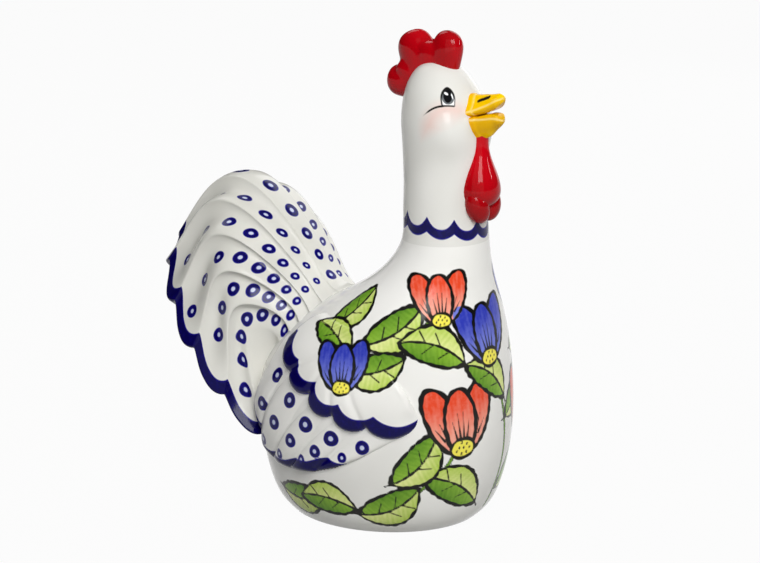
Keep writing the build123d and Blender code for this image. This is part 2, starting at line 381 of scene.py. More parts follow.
@dataclass(frozen=True)
class Glaze:
    """Fired clear glaze over a coloured ground and brushed colours.

    The ground is smooth and pale; the glaze gives sharp highlights and pools a little.
    """

    name: str
    ground: str
    pooled_and_shaded: str
    roughness: float = 0.1
    wave: float = 0.05
    gloss: float = 0.15
    speckle: str = ""
    brushes: tuple[Brush, ...] = ()
    cloud_size: ClassVar[float] = 45.0  # slow clouds where the glaze runs thicker, mm
    bristle_size: ClassVar[float] = 2.5  # grain that bristles leave in a thin wash, mm
    wave_size: ClassVar[float] = 18.0  # waves of hand-dipped glaze, which bend reflections, mm
    wave_height: ClassVar[float] = 2.0
    speck_gap: ClassVar[float] = 7.0  # iron specks, few and far between, mm
    pool_limits: ClassVar[tuple] = (0.35, 0.7)  # clouds where the glaze starts to pool, and is full
    speck_limits: ClassVar[tuple] = (0.10, 0.05, 0.0, 0.6)  # a speck's edge and middle, and their shares
    rough_limits: ClassVar[tuple] = (0.3, 0.75)
    rough_spread: ClassVar[tuple] = (0.8, 1.25)
    glass_index: ClassVar[float] = 1.5

    def material(self) -> Material:
        """Build the finish as a node material.

        Returns:
            The material, ready for a piece's slot.
        """
        material = bpy.data.materials.new(self.name)
        tree = cleared(material)
        place = add(tree, "ShaderNodeTexCoord").outputs["Object"]
        cloud = noise(tree, place, self.cloud_size, 2.0)
        bristles = noise(tree, place, self.bristle_size, 3.0)
        depth = ramp(tree, cloud, *self.pool_limits)
        colour = blend(tree, depth, linear(self.ground), linear(self.pooled_and_shaded))
        for brush in self.brushes:
            colour = brush.over(tree, colour, bristles)
        if self.speckle:
            spread = {"Vector": place, "Scale": 1 / (self.speck_gap * MM)}
            specks = add(tree, "ShaderNodeTexVoronoi", spread).outputs["Distance"]
            colour = blend(tree, ramp(tree, specks, *self.speck_limits), colour, linear(self.speckle))
        wave = noise(tree, place, self.wave_size, 1.0)
        waves = {"Strength": self.wave, "Distance": self.wave_height * MM, "Height": wave}
        rough = (self.roughness * spread for spread in self.rough_spread)
        glass = {
            "Base Color": colour,
            "Roughness": ramp(tree, cloud, *self.rough_limits, *rough),
            "IOR": self.glass_index,
            "Specular IOR Level": self.gloss,
            "Normal": add(tree, "ShaderNodeBump", waves).outputs[0],
        }
        shader = add(tree, "ShaderNodeBsdfPrincipled", glass)
        add(tree, "ShaderNodeOutputMaterial", {"Surface": shader.outputs[0]})
        return material


INK = Brush(Paint.INK.value, "#0e0e0c", "#24231f", 0.3)
COBALT = Brush(Paint.COBALT.value, "#05004c", "#1a12a6", 0.3, grain=0.5)
MILK = Brush(Paint.MILK.value, "#c2cae0", "#d0d7e9", 0.4)
GARDEN = (
    Brush(Paint.LEAF.value, "#a9c93c", "#e8ef9e", 0.3),
    Brush(Paint.LEAF_SHADE.value, "#4a8018", "#8fbc3c", 0.4),
    Brush(Paint.CORAL.value, "#ea4a28", "#f8ab96", 0.3),
    Brush(Paint.BLUE.value, "#323db4", "#7883dc", 0.3),
    Brush(Paint.YELLOW.value, "#f2d818", "#f8ee60", 0.3),
)
FACE_PAINT = (
    Brush("blush", "#ecb0a2", "#f2c9bf", 6.5, strength=0.64),
    Brush("eye_white", "#f4f4f2", "#ffffff", 0.2),
    Brush("eye_grey", "#2a2c2e", "#9aa0a4", 0.25),
    Brush("eye_dark", "#050505", "#15161a", 0.25),
    # Painted highlights: the two white glints on the eye's pupil
    Brush("eye_light", "#ffffff", "#ffffff", 0.2),
)
BEAK_PAINT = (
    Brush("rim", "#ffba00", "#ffc60c", 0.5, strength=0.8),
    # Painted shade: darker ochre under the crease, where the beak faces down
    Brush("pooled_and_shaded", "#c88a00", "#d99c00", 2.2, strength=0.55),
    # Painted highlight: pale yellow along the crease ridge and in a line beside the rim
    Brush("painted_highlight", "#f6e08a", "#fbeeb0", 0.5, strength=0.65),
)
# White tin glaze on slip-cast earthenware: cool white, glassy, a little greyer where it pools
BODY_GLAZE = Glaze("white_glaze_garden", "#f5f4f0", "#ecebe6", brushes=GARDEN + (INK,))
WING_GLAZE = Glaze("white_glaze_wings", "#f5f4f0", "#ecebe6", brushes=GARDEN + (MILK, COBALT, INK))
HEAD_GLAZE = Glaze("white_glaze_face", "#e9e8e3", "#dfded8", brushes=FACE_PAINT + (COBALT, INK))
TAIL_GLAZE = Glaze("white_glaze_plume", "#e5e4dd", "#d9d8d0", brushes=(MILK, COBALT))
# Cadmium red glaze: deep and wet, darker where it runs thick
RED_GLAZE = Glaze("red_glaze", "#c20012", "#9c0008", 0.06, gloss=0.16)
# Yellow glaze: warm and wet, with painted shade in ochre on its lower, downward-facing parts and a painted
# highlight along the creases
YELLOW_GLAZE = Glaze("yellow_glaze", "#ffd000", "#fbc200", 0.09, gloss=0.11, brushes=BEAK_PAINT + (INK,))
# Unglazed biscuit under the foot: buff, dry and faintly specked
BISCUIT = Glaze("bare_earthenware", "#d9cfbd", "#c9bda8", 0.85, wave=0.2, speckle="#8a7458")


def linked(name: str, data: ID) -> Object:
    """Put a new object in the scene.

    Args:
        name: Name of the object.
        data: Its mesh, lamp or camera.

    Returns:
        The object, at the origin.
    """
    thing = bpy.data.objects.new(name, data)
    bpy.context.scene.collection.objects.link(thing)
    return thing


class Skin:
    """Mesh in the making, from rows of places on the bird."""

    def __init__(self, name: str) -> None:
        """Start an empty skin.

        Args:
            name: Name of the piece.
        """
        self.name = name
        self.blocks: list[Array] = []
        self.faces: list[Array] = []
        self.count = 0

    def place(self, points: Array) -> Array:
        """Add places.

        Args:
            points: Places as (forward, right, up) in the last axis.

        Returns:
            Their numbers, in the shape of the other axes.
        """
        block = np.asarray(points, float).reshape(-1, 3)
        self.blocks.append(block)
        numbers = np.arange(self.count, self.count + len(block))
        self.count += len(block)
        return numbers.reshape(points.shape[:-1])

    def web(self, rows: Array, keep: Array | None = None) -> None:
        """Join neighbouring rows with four-sided faces.

        Args:
            rows: Numbers of the places, one row after another.
            keep: Which faces to make; all of them where it is left out.
        """
        corners = (rows[:-1, :-1], rows[:-1, 1:], rows[1:, 1:], rows[1:, :-1])
        quads = np.stack(corners, axis=-1)
        self.faces.append((quads if keep is None else quads[keep]).reshape(-1, 4))

    def ring(self, rows: Array) -> None:
        """Join rows that run once round the piece."""
        self.web(np.concatenate([rows, rows[:, :1]], axis=1))

    def fan(self, row: Array, tip: Array) -> None:
        """Close a row that runs once round the piece with a point at its tip."""
        middle = np.broadcast_to(self.place(tip[None, :]), row.shape)
        self.faces.append(np.stack([row, np.roll(row, -1), middle], axis=-1))

    @property
    def points(self) -> Array:
        """All places so far, in order."""
        return np.concatenate(self.blocks)

    def build(self, closed: bool = True) -> Object:
        """Make the Blender object.

        Args:
            closed: Whether the skin closes on itself, so that its faces can be turned outwards.

        Returns:
            The object, at the origin and smooth shaded.
        """
        mesh = bpy.data.meshes.new(self.name)
        faces = [face for block in self.faces for face in block.tolist()]
        mesh.from_pydata(to_model(self.points).tolist(), [], faces)
        if closed:
            work = bmesh.new()
            work.from_mesh(mesh)
            bmesh.ops.recalc_face_normals(work, faces=work.faces[:])
            work.to_mesh(mesh)
            work.free()
        mesh.shade_smooth()
        return linked(self.name, mesh)


def settle(piece: Object) -> None:
    """Replace a piece's mesh by what its modifiers make of it, and remove them.

    Args:
        piece: Piece with modifiers.
    """
    bpy.context.view_layer.update()
    shaped = piece.evaluated_get(bpy.context.evaluated_depsgraph_get())
    mesh = bpy.data.meshes.new_from_object(shaped)
    old = piece.data
    piece.modifiers.clear()
    piece.data = mesh
    mesh.name = piece.name
    bpy.data.meshes.remove(old)


def hold(piece: Object, measures: dict[str, Array]) -> None:
    """Store measures at a piece's points.

    Args:
        piece: Piece that is painted.
        measures: One value or one vector for each point, by name.
    """
    for name, values in measures.items():
        kind, key = ("FLOAT", "value") if values.ndim == 1 else ("FLOAT_VECTOR", "vector")
        layer = piece.data.attributes.new(name=name, type=kind, domain="POINT")
        layer.data.foreach_set(key, values.astype(np.float32).ravel())


def finish_piece(piece: Object, material: Material, slot: str, *nodes: str) -> Object:
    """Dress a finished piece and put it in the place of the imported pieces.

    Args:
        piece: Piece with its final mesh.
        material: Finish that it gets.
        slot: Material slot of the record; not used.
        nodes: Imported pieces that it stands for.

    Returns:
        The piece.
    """
    piece.data.materials.clear()
    piece.data.materials.append(material)
    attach(piece, "root")
    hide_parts(*nodes)
    LOG.info("%s: %d faces", piece.name, len(piece.data.polygons))
    return piece


@dataclass(frozen=True)
class Oval:
    """Level cross-section: how far it reaches forward, backward and to each side, mm."""

    front: float
    back: float
    half_width: float

    def row(self, height: float) -> list[float]:
        """Height and reaches as one row."""
        return [height, self.front, self.back, self.half_width]

    def mixed(self, other: "Oval", share: float, side_share: float) -> "Oval":
        """Part of the way to another oval.

        Args:
            other: Oval at the far end.
            share: Share of the way along the bird.
            side_share: Share of the way across it.

        Returns:
            The oval in between.
        """
        return Oval(
            self.front + (other.front - self.front) * share,
            self.back + (other.back - self.back) * share,
            self.half_width + (other.half_width - self.half_width) * side_share,
        )


def middles(rows: Array) -> tuple[Array, Array]:
    """How far forward the middles of rows lie, and their half depths."""
    return (rows[..., 1] - rows[..., 2]) / 2, (rows[..., 1] + rows[..., 2]) / 2


@dataclass(frozen=True)
class CastForm:
    """Outside of the casting from foot to crown, as a stack of ovals.

    The sweeps have shares of the height and of the way to the foot or, along and across the
    bird, to the collar.
    """

    foot: Oval = Oval(58.0, 62.0, 54.0)
    belly: Oval = Oval(78.5, 82.0, 70.0)
    collar: Oval = Oval(66.5, -16.0, 26.5)
    face: Oval = Oval(65.0, -15.5, 25.5)
    belly_height: float = 64.0
    collar_height: float = 172.0
    face_height: float = 232.0
    crown_rise: float = 44.5
    crown_lean: float = 0.1
    crown_fullness: float = 2.25
    waist: float = 1.0
    wall: float = 5.0
    least_reach: float = 0.01
    samples: int = 4000
    foot_sweep: tuple = ((0.0, 1.0), (0.09, 0.70), (0.31, 0.35), (0.66, 0.09), (1.0, 0.0))
    neck_sweep: tuple = (
        (0.20, 0.045, 0.035), (0.39, 0.195, 0.165), (0.57, 0.44, 0.39),
        (0.74, 0.76, 0.70), (0.88, 0.93, 0.91), (1.0, 1.0, 1.0),
    )
    neck_shares: tuple = (0.25, 0.5, 0.75, 1.0)
    crown_turns: tuple = (7, 16, 27, 39, 51, 62, 72, 80, 86, 89, 90)

    @property
    def crown_height(self) -> float:
        """Height of the crown, mm."""
        return self.face_height + self.crown_rise

    def rows(self) -> Array:
        """Stack the ovals.

        Returns:
            Rows of height, front, back and half width from the foot to the crown.
        """
        rows = []
        for rise, draw in self.foot_sweep:
            rows.append(self.belly.mixed(self.foot, draw, draw).row(self.belly_height * rise))
        span = self.collar_height - self.belly_height
        for rise, draw, side_draw in self.neck_sweep:
            oval = self.belly.mixed(self.collar, draw, side_draw)
            rows.append(oval.row(self.belly_height + span * rise))
        span = self.face_height - self.collar_height
        for share in self.neck_shares:
            row = self.collar.mixed(self.face, share, share).row(self.collar_height + span * share)
            drawn_in = self.waist * math.sin(math.pi * share)
            rows.append(row[:1] + [reach - drawn_in for reach in row[1:]])
        middle, depth = middles(np.array(self.face.row(self.face_height)))
        for turn in np.radians(self.crown_turns):
            rise = self.crown_rise * math.sin(turn) ** (2 / self.crown_fullness)
            spread = max(math.cos(turn), 1e-5) ** (2 / self.crown_fullness)
            centre = middle - self.crown_lean * rise
            oval = Oval(centre + depth * spread, depth * spread - centre, self.face.half_width * spread)
            rows.append(oval.row(self.face_height + rise))
        return np.array(rows)

    def spline(self) -> tuple[Spline, float]:
        """Smooth run of rows by the length of the outline.

        Returns:
            The run, and the length at which it reaches the collar.
        """
        rows = self.rows()
        knots = run_lengths(np.stack([rows[:, 0], (middles(rows)[1] + rows[:, 3]) / 2], axis=-1))
        collar = len(self.foot_sweep) + len(self.neck_sweep) - 1
        return Spline(knots, rows), float(knots[collar])

    def at_height(self, height: Array) -> Array:
        """Rows of the casting below the crown at given heights.

        Args:
            height: Heights in mm.

        Returns:
            Rows of height, front, back and half width.
        """
        run, _ = self.spline()
        lengths = np.linspace(run.knots[0], run.knots[-1], self.samples)
        return run(np.interp(height, run(lengths)[:, 0], lengths))

    def around(self, rows: Array, turns: Array, inset: float = 0.0) -> Array:
        """Places round the casting.

        Args:
            rows: Rows of height, front, back and half width.
            turns: Bearings from the front towards the right, radians.
            inset: Depth under the outside, mm.

        Returns:
            Places by row and bearing.
        """
        middle, depth = middles(rows[:, None])
        forward = middle + np.maximum(depth - inset, self.least_reach) * np.cos(turns)
        right = np.maximum(rows[:, 3:] - inset, self.least_reach) * np.sin(turns)
        return np.stack(np.broadcast_arrays(forward, right, rows[:, :1]), axis=-1)

    def spot(self, bearing: float, height: float) -> tuple[Array, Array]:
        """Place on the outside and its outward direction.

        Args:
            bearing: Bearing from the front towards the right, degrees.
            height: Height in mm.

        Returns:
            The place and a unit direction.
        """
        turn = math.radians(bearing)
        rows = self.at_height(height + np.array([-0.5, 0.5]))
        near = self.around(rows, turn + np.array([-0.01, 0.01]))
        across = near[:, 1].mean(axis=0) - near[:, 0].mean(axis=0)
        outward = unit(np.cross(across, near[1].mean(axis=0) - near[0].mean(axis=0)))
        away = np.array([math.cos(turn), math.sin(turn), 0.0])
        return near.mean(axis=(0, 1)), outward * math.copysign(1.0, float(outward @ away))

    def reach(self, points: Array, top: float) -> tuple[Array, Array]:
        """How far out places lie beside the casting.

        Args:
            points: Places in the last axis.
            top: Height above which the casting counts as going straight up, mm.

        Returns:
            Shares of the casting's reach, one on its outside, and its half depths there.
        """
        rows = self.at_height(np.clip(points[..., 2].ravel(), 0, top))
        rows = rows.reshape(points.shape[:-1] + (4,))
        middle, depth = middles(rows)
        return np.hypot((points[..., 0] - middle) / depth, points[..., 1] / rows[..., 3]), depth


@dataclass
class Canvas:
    """Points that are painted, with a signed distance to each colour and a wash, mm."""

    form: CastForm
    points: Array
    normals: Array
    measures: dict[str, Array] = field(init=False)
    least_facing: ClassVar[float] = 0.15

    def __post_init__(self) -> None:
        """Start with every colour out of reach."""
        self.measures = {paint.value: np.full(len(self.points), FAR) for paint in Paint}
        self.measures["wash"] = np.full(len(self.points), EVEN_WASH)

    def lay(self, paint: Paint, distance: Array, near: Array) -> None:
        """Add a shape to a colour, by its signed distance at the points near it."""
        layer = self.measures[paint.value]
        layer[near] = np.minimum(layer[near], distance[near])

    def lift(self, distance: Array, near: Array, *paints: Paint) -> None:
        """Wipe colours off under a shape.

        Args:
            distance: Signed distance to the shape.
            near: Which points it can reach.
            paints: Colours that are wiped off.
        """
        for paint in paints:
            layer = self.measures[paint.value]
            layer[near] = np.maximum(layer[near], -distance[near])

    def shade(self, share: Array, inside: Array) -> None:
        """Set how full the brush is, from 0 to 1, where it is inside a shape."""
        self.measures["wash"][inside] = np.clip(share, 0, 1)[inside]

    def local(self, bearing: float, height: float, turn: float) -> tuple[Array, Array, Array]:
        """Flat places about a spot on the skin.

        Args:
            bearing: Bearing of the spot, degrees from the front towards the right.
            height: Height of the spot, mm.
            turn: Turn of the upright to the bird's left, degrees.

        Returns:
            Places across and along in mm, and which points are near.
        """
        place, normal = self.form.spot(bearing, height)
        upright = up_slope(normal)
        away = self.points - place
        a, b = away @ np.cross(upright, normal), away @ upright
        near = (np.abs(away @ normal) < FAR) & (np.hypot(a, b) < 2 * FAR)
        near &= self.normals @ normal > self.least_facing
        return *turned(a, b, math.radians(turn)), near


def cobalt_wash(distance: Array) -> Array:
    """How full the brush is across a cobalt stroke: thin at its edge, full in its middle."""
    return 0.15 + 0.85 * smooth_step(0.2, -1.1, distance)


def ink_width(a: Array, b: Array, half: float = 1.0) -> Array:
    """Half width of a hand-drawn line about so wide, which swells and thins along it, mm."""
    return half * (1 + 0.22 * np.sin(0.55 * a + 0.31 * b) + 0.15 * np.sin(1.15 * b - 0.8 * a))


def ringed_dot(distance: Array, radius: float) -> tuple[Array, Array]:
    """Signed distances to a brushed ring and to its milky heart, from that to its middle."""
    return np.abs(distance - 0.69 * radius) - 0.36 * radius, distance - 0.41 * radius


@dataclass(frozen=True)
class Leaf:
    """Pointed leaf, pale on one side of its rib and dark on the other."""

    bearing: float
    height: float
    turn: float
    half_length: float
    half_width: float
    bend: ClassVar[float] = 0.012  # sideways bow of the rib
    veins: ClassVar[tuple] = ((-0.45, 1), (-0.15, -1), (0.05, 1), (0.3, -1))  # foot and side
    vein_reach: ClassVar[tuple] = (0.58, 0.26)  # shares of the half width and half length
    vein_half: ClassVar[float] = 0.45
    stalk: ClassVar[float] = 4.0

    def paint(self, canvas: Canvas) -> None:
        """Brush the leaf.

        Args:
            canvas: Canvas that it goes on.
        """
        a, b, near = canvas.local(self.bearing, self.height, self.turn)
        bow = a - self.bend * (b**2 - self.half_length**2)
        radius = (self.half_length**2 + self.half_width**2) / (2 * self.half_width)
        blade = np.hypot(np.abs(bow) + radius - self.half_width, b) - radius
        blade = blade + 0.3 * np.sin(0.95 * b) * np.sin(0.6 * bow)
        canvas.lift(blade, near, Paint.CORAL, Paint.BLUE, Paint.YELLOW, Paint.LEAF_SHADE, Paint.INK)
        canvas.lay(Paint.LEAF, blade, near)
        canvas.lay(Paint.LEAF_SHADE, np.maximum(blade, -bow), near)
        streaks = 0.16 * np.sin(2.1 * b + 0.9 * np.abs(bow)) * np.sin(0.35 * b)
        fullness = 0.2 + 0.62 * np.abs(bow) / self.half_width + 0.014 * b
        canvas.shade(fullness + streaks, near & (blade < 1))
        width = ink_width(a, b)
        canvas.lay(Paint.INK, np.abs(blade) - width, near)
        on_rib = np.abs(b + self.stalk / 2) < self.half_length + self.stalk / 2
        canvas.lay(Paint.INK, np.where(on_rib, np.abs(bow), FAR) - 0.7 * width, near)
        for foot, side in self.veins:
            start = (0.0, foot * self.half_length)
            out, onward = self.vein_reach
            end = (side * out * self.half_width, (foot + onward) * self.half_length)
            canvas.lay(Paint.INK, segment(bow, b, start, end) - self.vein_half, near)


@dataclass(frozen=True)
class Tulip:
    """Three-petalled tulip with a yellow heart at its foot, at size one in mm."""

    bearing: float
    height: float
    turn: float
    colour: Paint
    size: float
    outer_petals: ClassVar[tuple] = ((8.2, 1.0, 7.6, 17.0, -0.36), (-8.2, 1.0, 7.6, 17.0, 0.36))
    inner_petal: ClassVar[tuple] = (0.0, -0.6, 8.0, 15.6)
    heart: ClassVar[tuple] = (0.0, -13.2, 6.2, 4.6)
    # Foot and head of each stroke on the right
    strokes: ClassVar[tuple] = (
        ((0.8, -9.0), (1.5, 4.0)), ((2.4, -9.0), (4.4, 0.5)),
        ((7.0, -8.5), (10.6, 1.0)), ((8.6, -8.0), (12.8, -1.5)),
    )
    stipple: ClassVar[tuple] = (
        (-3.4, -13.4), (-2.2, -11.4), (-1.6, -15.2), (-0.4, -12.9),
        (0.5, -10.6), (1.0, -15.6), (1.9, -12.6), (3.3, -14.1),
    )
    stipple_shape: ClassVar[tuple] = (0.5, 0.85, 0.5)

    def paint(self, canvas: Canvas) -> None:
        """Brush the tulip.

        Args:
            canvas: Canvas that it goes on.
        """
        a, b, near = canvas.local(self.bearing, self.height, self.turn)
        a, b = a / self.size, b / self.size
        outer, inner = ovals(a, b, *self.outer_petals), ovals(a, b, self.inner_petal)
        cup, heart = np.minimum(outer, inner), ovals(a, b, self.heart)
        canvas.lift(cup, near, Paint.LEAF, Paint.LEAF_SHADE, Paint.INK)
        canvas.lay(self.colour, cup * self.size, near)
        bristles = 0.14 * np.sin(1.9 * a + 0.12 * b) * np.sin(0.7 * a - 0.2 * b)
        canvas.shade(0.1 + 0.85 * smooth_step(-9, 11, b) + bristles, near & (cup < 1))
        width = ink_width(a, b)
        lines = [np.maximum(np.abs(outer) - width, -inner), np.abs(inner) - width]
        for foot, head in self.strokes:
            fading = 0.55 - 0.35 * smooth_step(foot[1], head[1], b)
            for sign in (1, -1):
                stroke = segment(a, b, (sign * foot[0], foot[1]), (sign * head[0], head[1]))
                lines.append(stroke - fading)
        canvas.lay(Paint.INK, np.minimum.reduce(lines) * self.size, near)
        canvas.lift(heart, near, self.colour, Paint.INK)
        canvas.lay(Paint.YELLOW, heart * self.size, near)
        dots = ovals(a, b, *(spot + self.stipple_shape for spot in self.stipple))
        canvas.lay(Paint.INK, np.minimum(dots, np.abs(heart) - 0.8 * width) * self.size, near)


@dataclass(frozen=True)
class Stem:
    """Brushed stem that climbs the skin through (bearing, height) spots."""

    spots: tuple[tuple[float, float], ...]
    half_width: ClassVar[float] = 1.1
    line_half: ClassVar[float] = 0.32
    samples: ClassVar[int] = 60

    def paint(self, canvas: Canvas) -> None:
        """Brush the stem.

        Args:
            canvas: Canvas that it goes on.
        """
        run = Spline(np.arange(len(self.spots)), np.array(self.spots))
        nearest = np.full(len(canvas.points), FAR)
        for bearing, height in run(np.linspace(0, len(self.spots) - 1, self.samples)):
            place, _ = canvas.form.spot(bearing, height)
            nearest = np.minimum(nearest, np.linalg.norm(canvas.points - place, axis=1))
        edge = nearest - self.half_width
        canvas.lay(Paint.LEAF_SHADE, edge, nearest < FAR)
        canvas.lay(Paint.INK, np.abs(edge) - self.line_half, nearest < FAR)


# Sprigs of the breast, the shoulders, the flanks and the back, in the order of the brush
GARDEN_PLAN = (
    Stem(((52, 9), (44, 28), (31, 44), (26, 58))),
    Leaf(57, 22, 62, 20.5, 11.5),
    Leaf(26, 27, -58, 22, 12),
    Leaf(46, 50, 40, 20.5, 11.5),
    Tulip(24, 72, -6, Paint.CORAL, 1.29),
    Stem(((-4, 10), (-9, 40), (-5, 75), (3, 102))),
    Leaf(-22, 36, 40, 22, 12),
    Leaf(7, 92, -52, 20.5, 10.5),
    Leaf(-20, 82, 44, 22, 12),
    Tulip(6, 121, -6, Paint.BLUE, 1.15),
    Stem(((62, 116), (53, 124), (48, 132))),
    Leaf(71, 128, 52, 20.5, 11.5),
    Leaf(41, 113, -70, 20.5, 11.5),
    Tulip(47, 143, -2, Paint.CORAL, 0.94),
    Leaf(112, 134, 20, 18.5, 10),
    Leaf(104, 20, 84, 19.5, 10.5),
    Leaf(88, 17, -86, 19.5, 10.5),
    Leaf(70, 106, 74, 19.5, 10.5),
    Leaf(100, 116, -60, 18.5, 10),
    Tulip(84, 103, -8, Paint.BLUE, 0.92),
    Leaf(-70, 106, -74, 19.5, 10.5),
    Leaf(-100, 116, 60, 18.5, 10),
    Tulip(-84, 103, 8, Paint.CORAL, 0.92),
    Stem(((-46, 9), (-40, 28), (-34, 44), (-30, 58))),
    Leaf(-53, 24, -60, 20.5, 11.5),
    Leaf(-48, 52, -36, 20.5, 11.5),
    Tulip(-33, 70, 6, Paint.CORAL, 1.26),
    Stem(((-62, 116), (-53, 124), (-48, 132))),
    Leaf(-71, 128, -52, 20.5, 11.5),
    Leaf(-40, 112, 70, 20.5, 11.5),
    Tulip(-47, 143, 2, Paint.BLUE, 0.94),
    Leaf(-112, 134, -20, 18.5, 10),
    Leaf(-104, 20, -84, 19.5, 10.5),
    Leaf(-88, 17, 86, 19.5, 10.5),
    Stem(((180, 8), (176, 18), (180, 30))),
    Leaf(166, 22, -56, 17, 9.5),
    Leaf(194, 22, 56, 17, 9.5),
    Tulip(180, 44, 0, Paint.BLUE, 1.03),
)


def bird_normals(piece: Object) -> Array:
    """Outward directions at a piece's points.

    Args:
        piece: Piece to read.

    Returns:
        One (forward, right, up) direction for each point.
    """
    normals = np.empty(3 * len(piece.data.vertices), np.float32)
    piece.data.vertex_normals.foreach_get("vector", normals)
    x, y, z = normals.reshape(-1, 3).astype(float).T
    return np.stack([-y, -x, z], axis=-1)


@dataclass
class BodyShell:
    """Hollow body from the foot ring to the collar joint, with its painted sprigs."""

    form: CastForm
    columns: int = 470
    outer_rows: int = 196
    inner_rows: int = 9

    def build(self) -> Object:
        """Make and dress the body.

        Returns:
            The finished piece.
        """
        run, collar = self.form.spline()
        turns = full_turn(self.columns)
        outside = run(np.linspace(0, collar, self.outer_rows))
        inside = run(np.linspace(collar, 0, self.inner_rows))
        skin = Skin("body_skin")
        rows = skin.place(self.form.around(outside, turns))
        lining = skin.place(self.form.around(inside, turns, self.form.wall))
        skin.ring(np.concatenate([rows, lining, rows[:1]]))
        piece = skin.build()
        piece.data.set_sharp_from_angle(angle=SHARP_ANGLE)
        self._paint(piece, skin)
        return finish_piece(piece, BODY_GLAZE.material(), "white_glaze", "body_shell")

    def _paint(self, piece: Object, skin: Skin) -> None:
        """Brush the sprigs on the outside.

        Args:
            piece: Piece to paint.
            skin: Its places.
        """
        shown = self.columns * self.outer_rows
        canvas = Canvas(self.form, skin.points[:shown], bird_normals(piece)[:shown])
        for motif in GARDEN_PLAN:
            motif.paint(canvas)
        lining = np.full(skin.count - shown, FAR)
        hold(piece, {name: np.append(values, lining) for name, values in canvas.measures.items()})


@dataclass(frozen=True)
class Eye:
    """Painted eye: a white arch over its lid, a pupil with two glints, and a lash line, mm."""

    place: tuple = (50.4, 13.2, 255.6)
    facing: tuple = (0.52, 0.62, 0.58)
    reach: float = 25.0
    waist: float = -1.4
    lid: float = -5.5
    arc_radius: float = 8.9
    arc_offset: float = 4.65
    tip_round: float = 0.7
    draw_in: float = 0.10
    pupil: tuple = (0.0, 1.0, 3.9, 5.6)
    core: tuple = ((-0.1, 0.6, 2.5, 4.2), (0.0, 4.6, 3.2, 2.0))
    # glints: two painted highlights on the pupil
    glints: tuple = ((-0.9, 2.0, 1.35, 0.75, -0.6), (2.5, 0.4, 0.35, 1.9, 0.25))
    lash_ends: tuple = (-14.8, 3.6)
    lash_level: float = -5.6
    lash_bow: tuple = (0.064, 5.0, 1.75)  # how much it bows down, from where, and how suddenly
    lash_halves: tuple = (0.64, 0.24)  # half width, and how much thinner under the eye
    lash_swell: tuple = (-15.5, -10.0)
    lash_thin: tuple = (-4.0, -2.0)
    line_halves: tuple = (0.3, 0.34, 0.12)  # half width, and how much more at the tip and at the back
    line_tip: tuple = (-2.0, 6.0)
    line_back: tuple = (1.0, -3.0)

    def measures(self, points: Array) -> dict[str, Array]:
        """Measure the eye's paints.

        Args:
            points: Places, with the left side folded on the right one.

        Returns:
            Signed distances by the name of the paint.
        """
        facing = unit(np.array(self.facing))
        upright = up_slope(facing)
        away = points - np.array(self.place)
        a, b = away @ np.cross(facing, upright), away @ upright
        over = b - self.waist
        # Two arcs that meet in a rounded tip, and sides that draw in to the lid
        arcs = np.hypot(np.sqrt(a**2 + self.tip_round) + self.arc_offset, np.maximum(over, 0.0))
        rim = np.maximum(arcs - self.arc_radius - self.draw_in * np.minimum(over, 0.0), self.lid - b)
        line_half, at_tip, at_back = self.line_halves
        line_half = line_half + at_tip * smooth_step(*self.line_tip, b)
        line_half = line_half + at_back * smooth_step(*self.line_back, a)
        bend, bend_start, power = self.lash_bow
        lash_bow = b - self.lash_level + bend * np.maximum(-a - bend_start, 0.0) ** power
        full, thinner = self.lash_halves
        lash_half = full * smooth_step(*self.lash_swell, a) - thinner * smooth_step(*self.lash_thin, a)
        on_lash = (a > self.lash_ends[0]) & (a < self.lash_ends[1])
        lash = np.where(on_lash, np.abs(lash_bow) - lash_half, FAR)
        shapes = {
            "eye_white": rim,
            "eye_grey": np.maximum(ovals(a, b, self.pupil), rim + 0.1),
            "eye_dark": np.maximum(ovals(a, b, *self.core), rim),
            # painted highlights on the pupil
            "eye_light": ovals(a, b, *self.glints),
            Paint.INK.value: np.minimum(np.abs(rim + 0.2) - line_half, lash),
        }
        beyond = np.maximum(np.linalg.norm(away, axis=1) - self.reach, 0)
        return {name: shape + beyond for name, shape in shapes.items()}


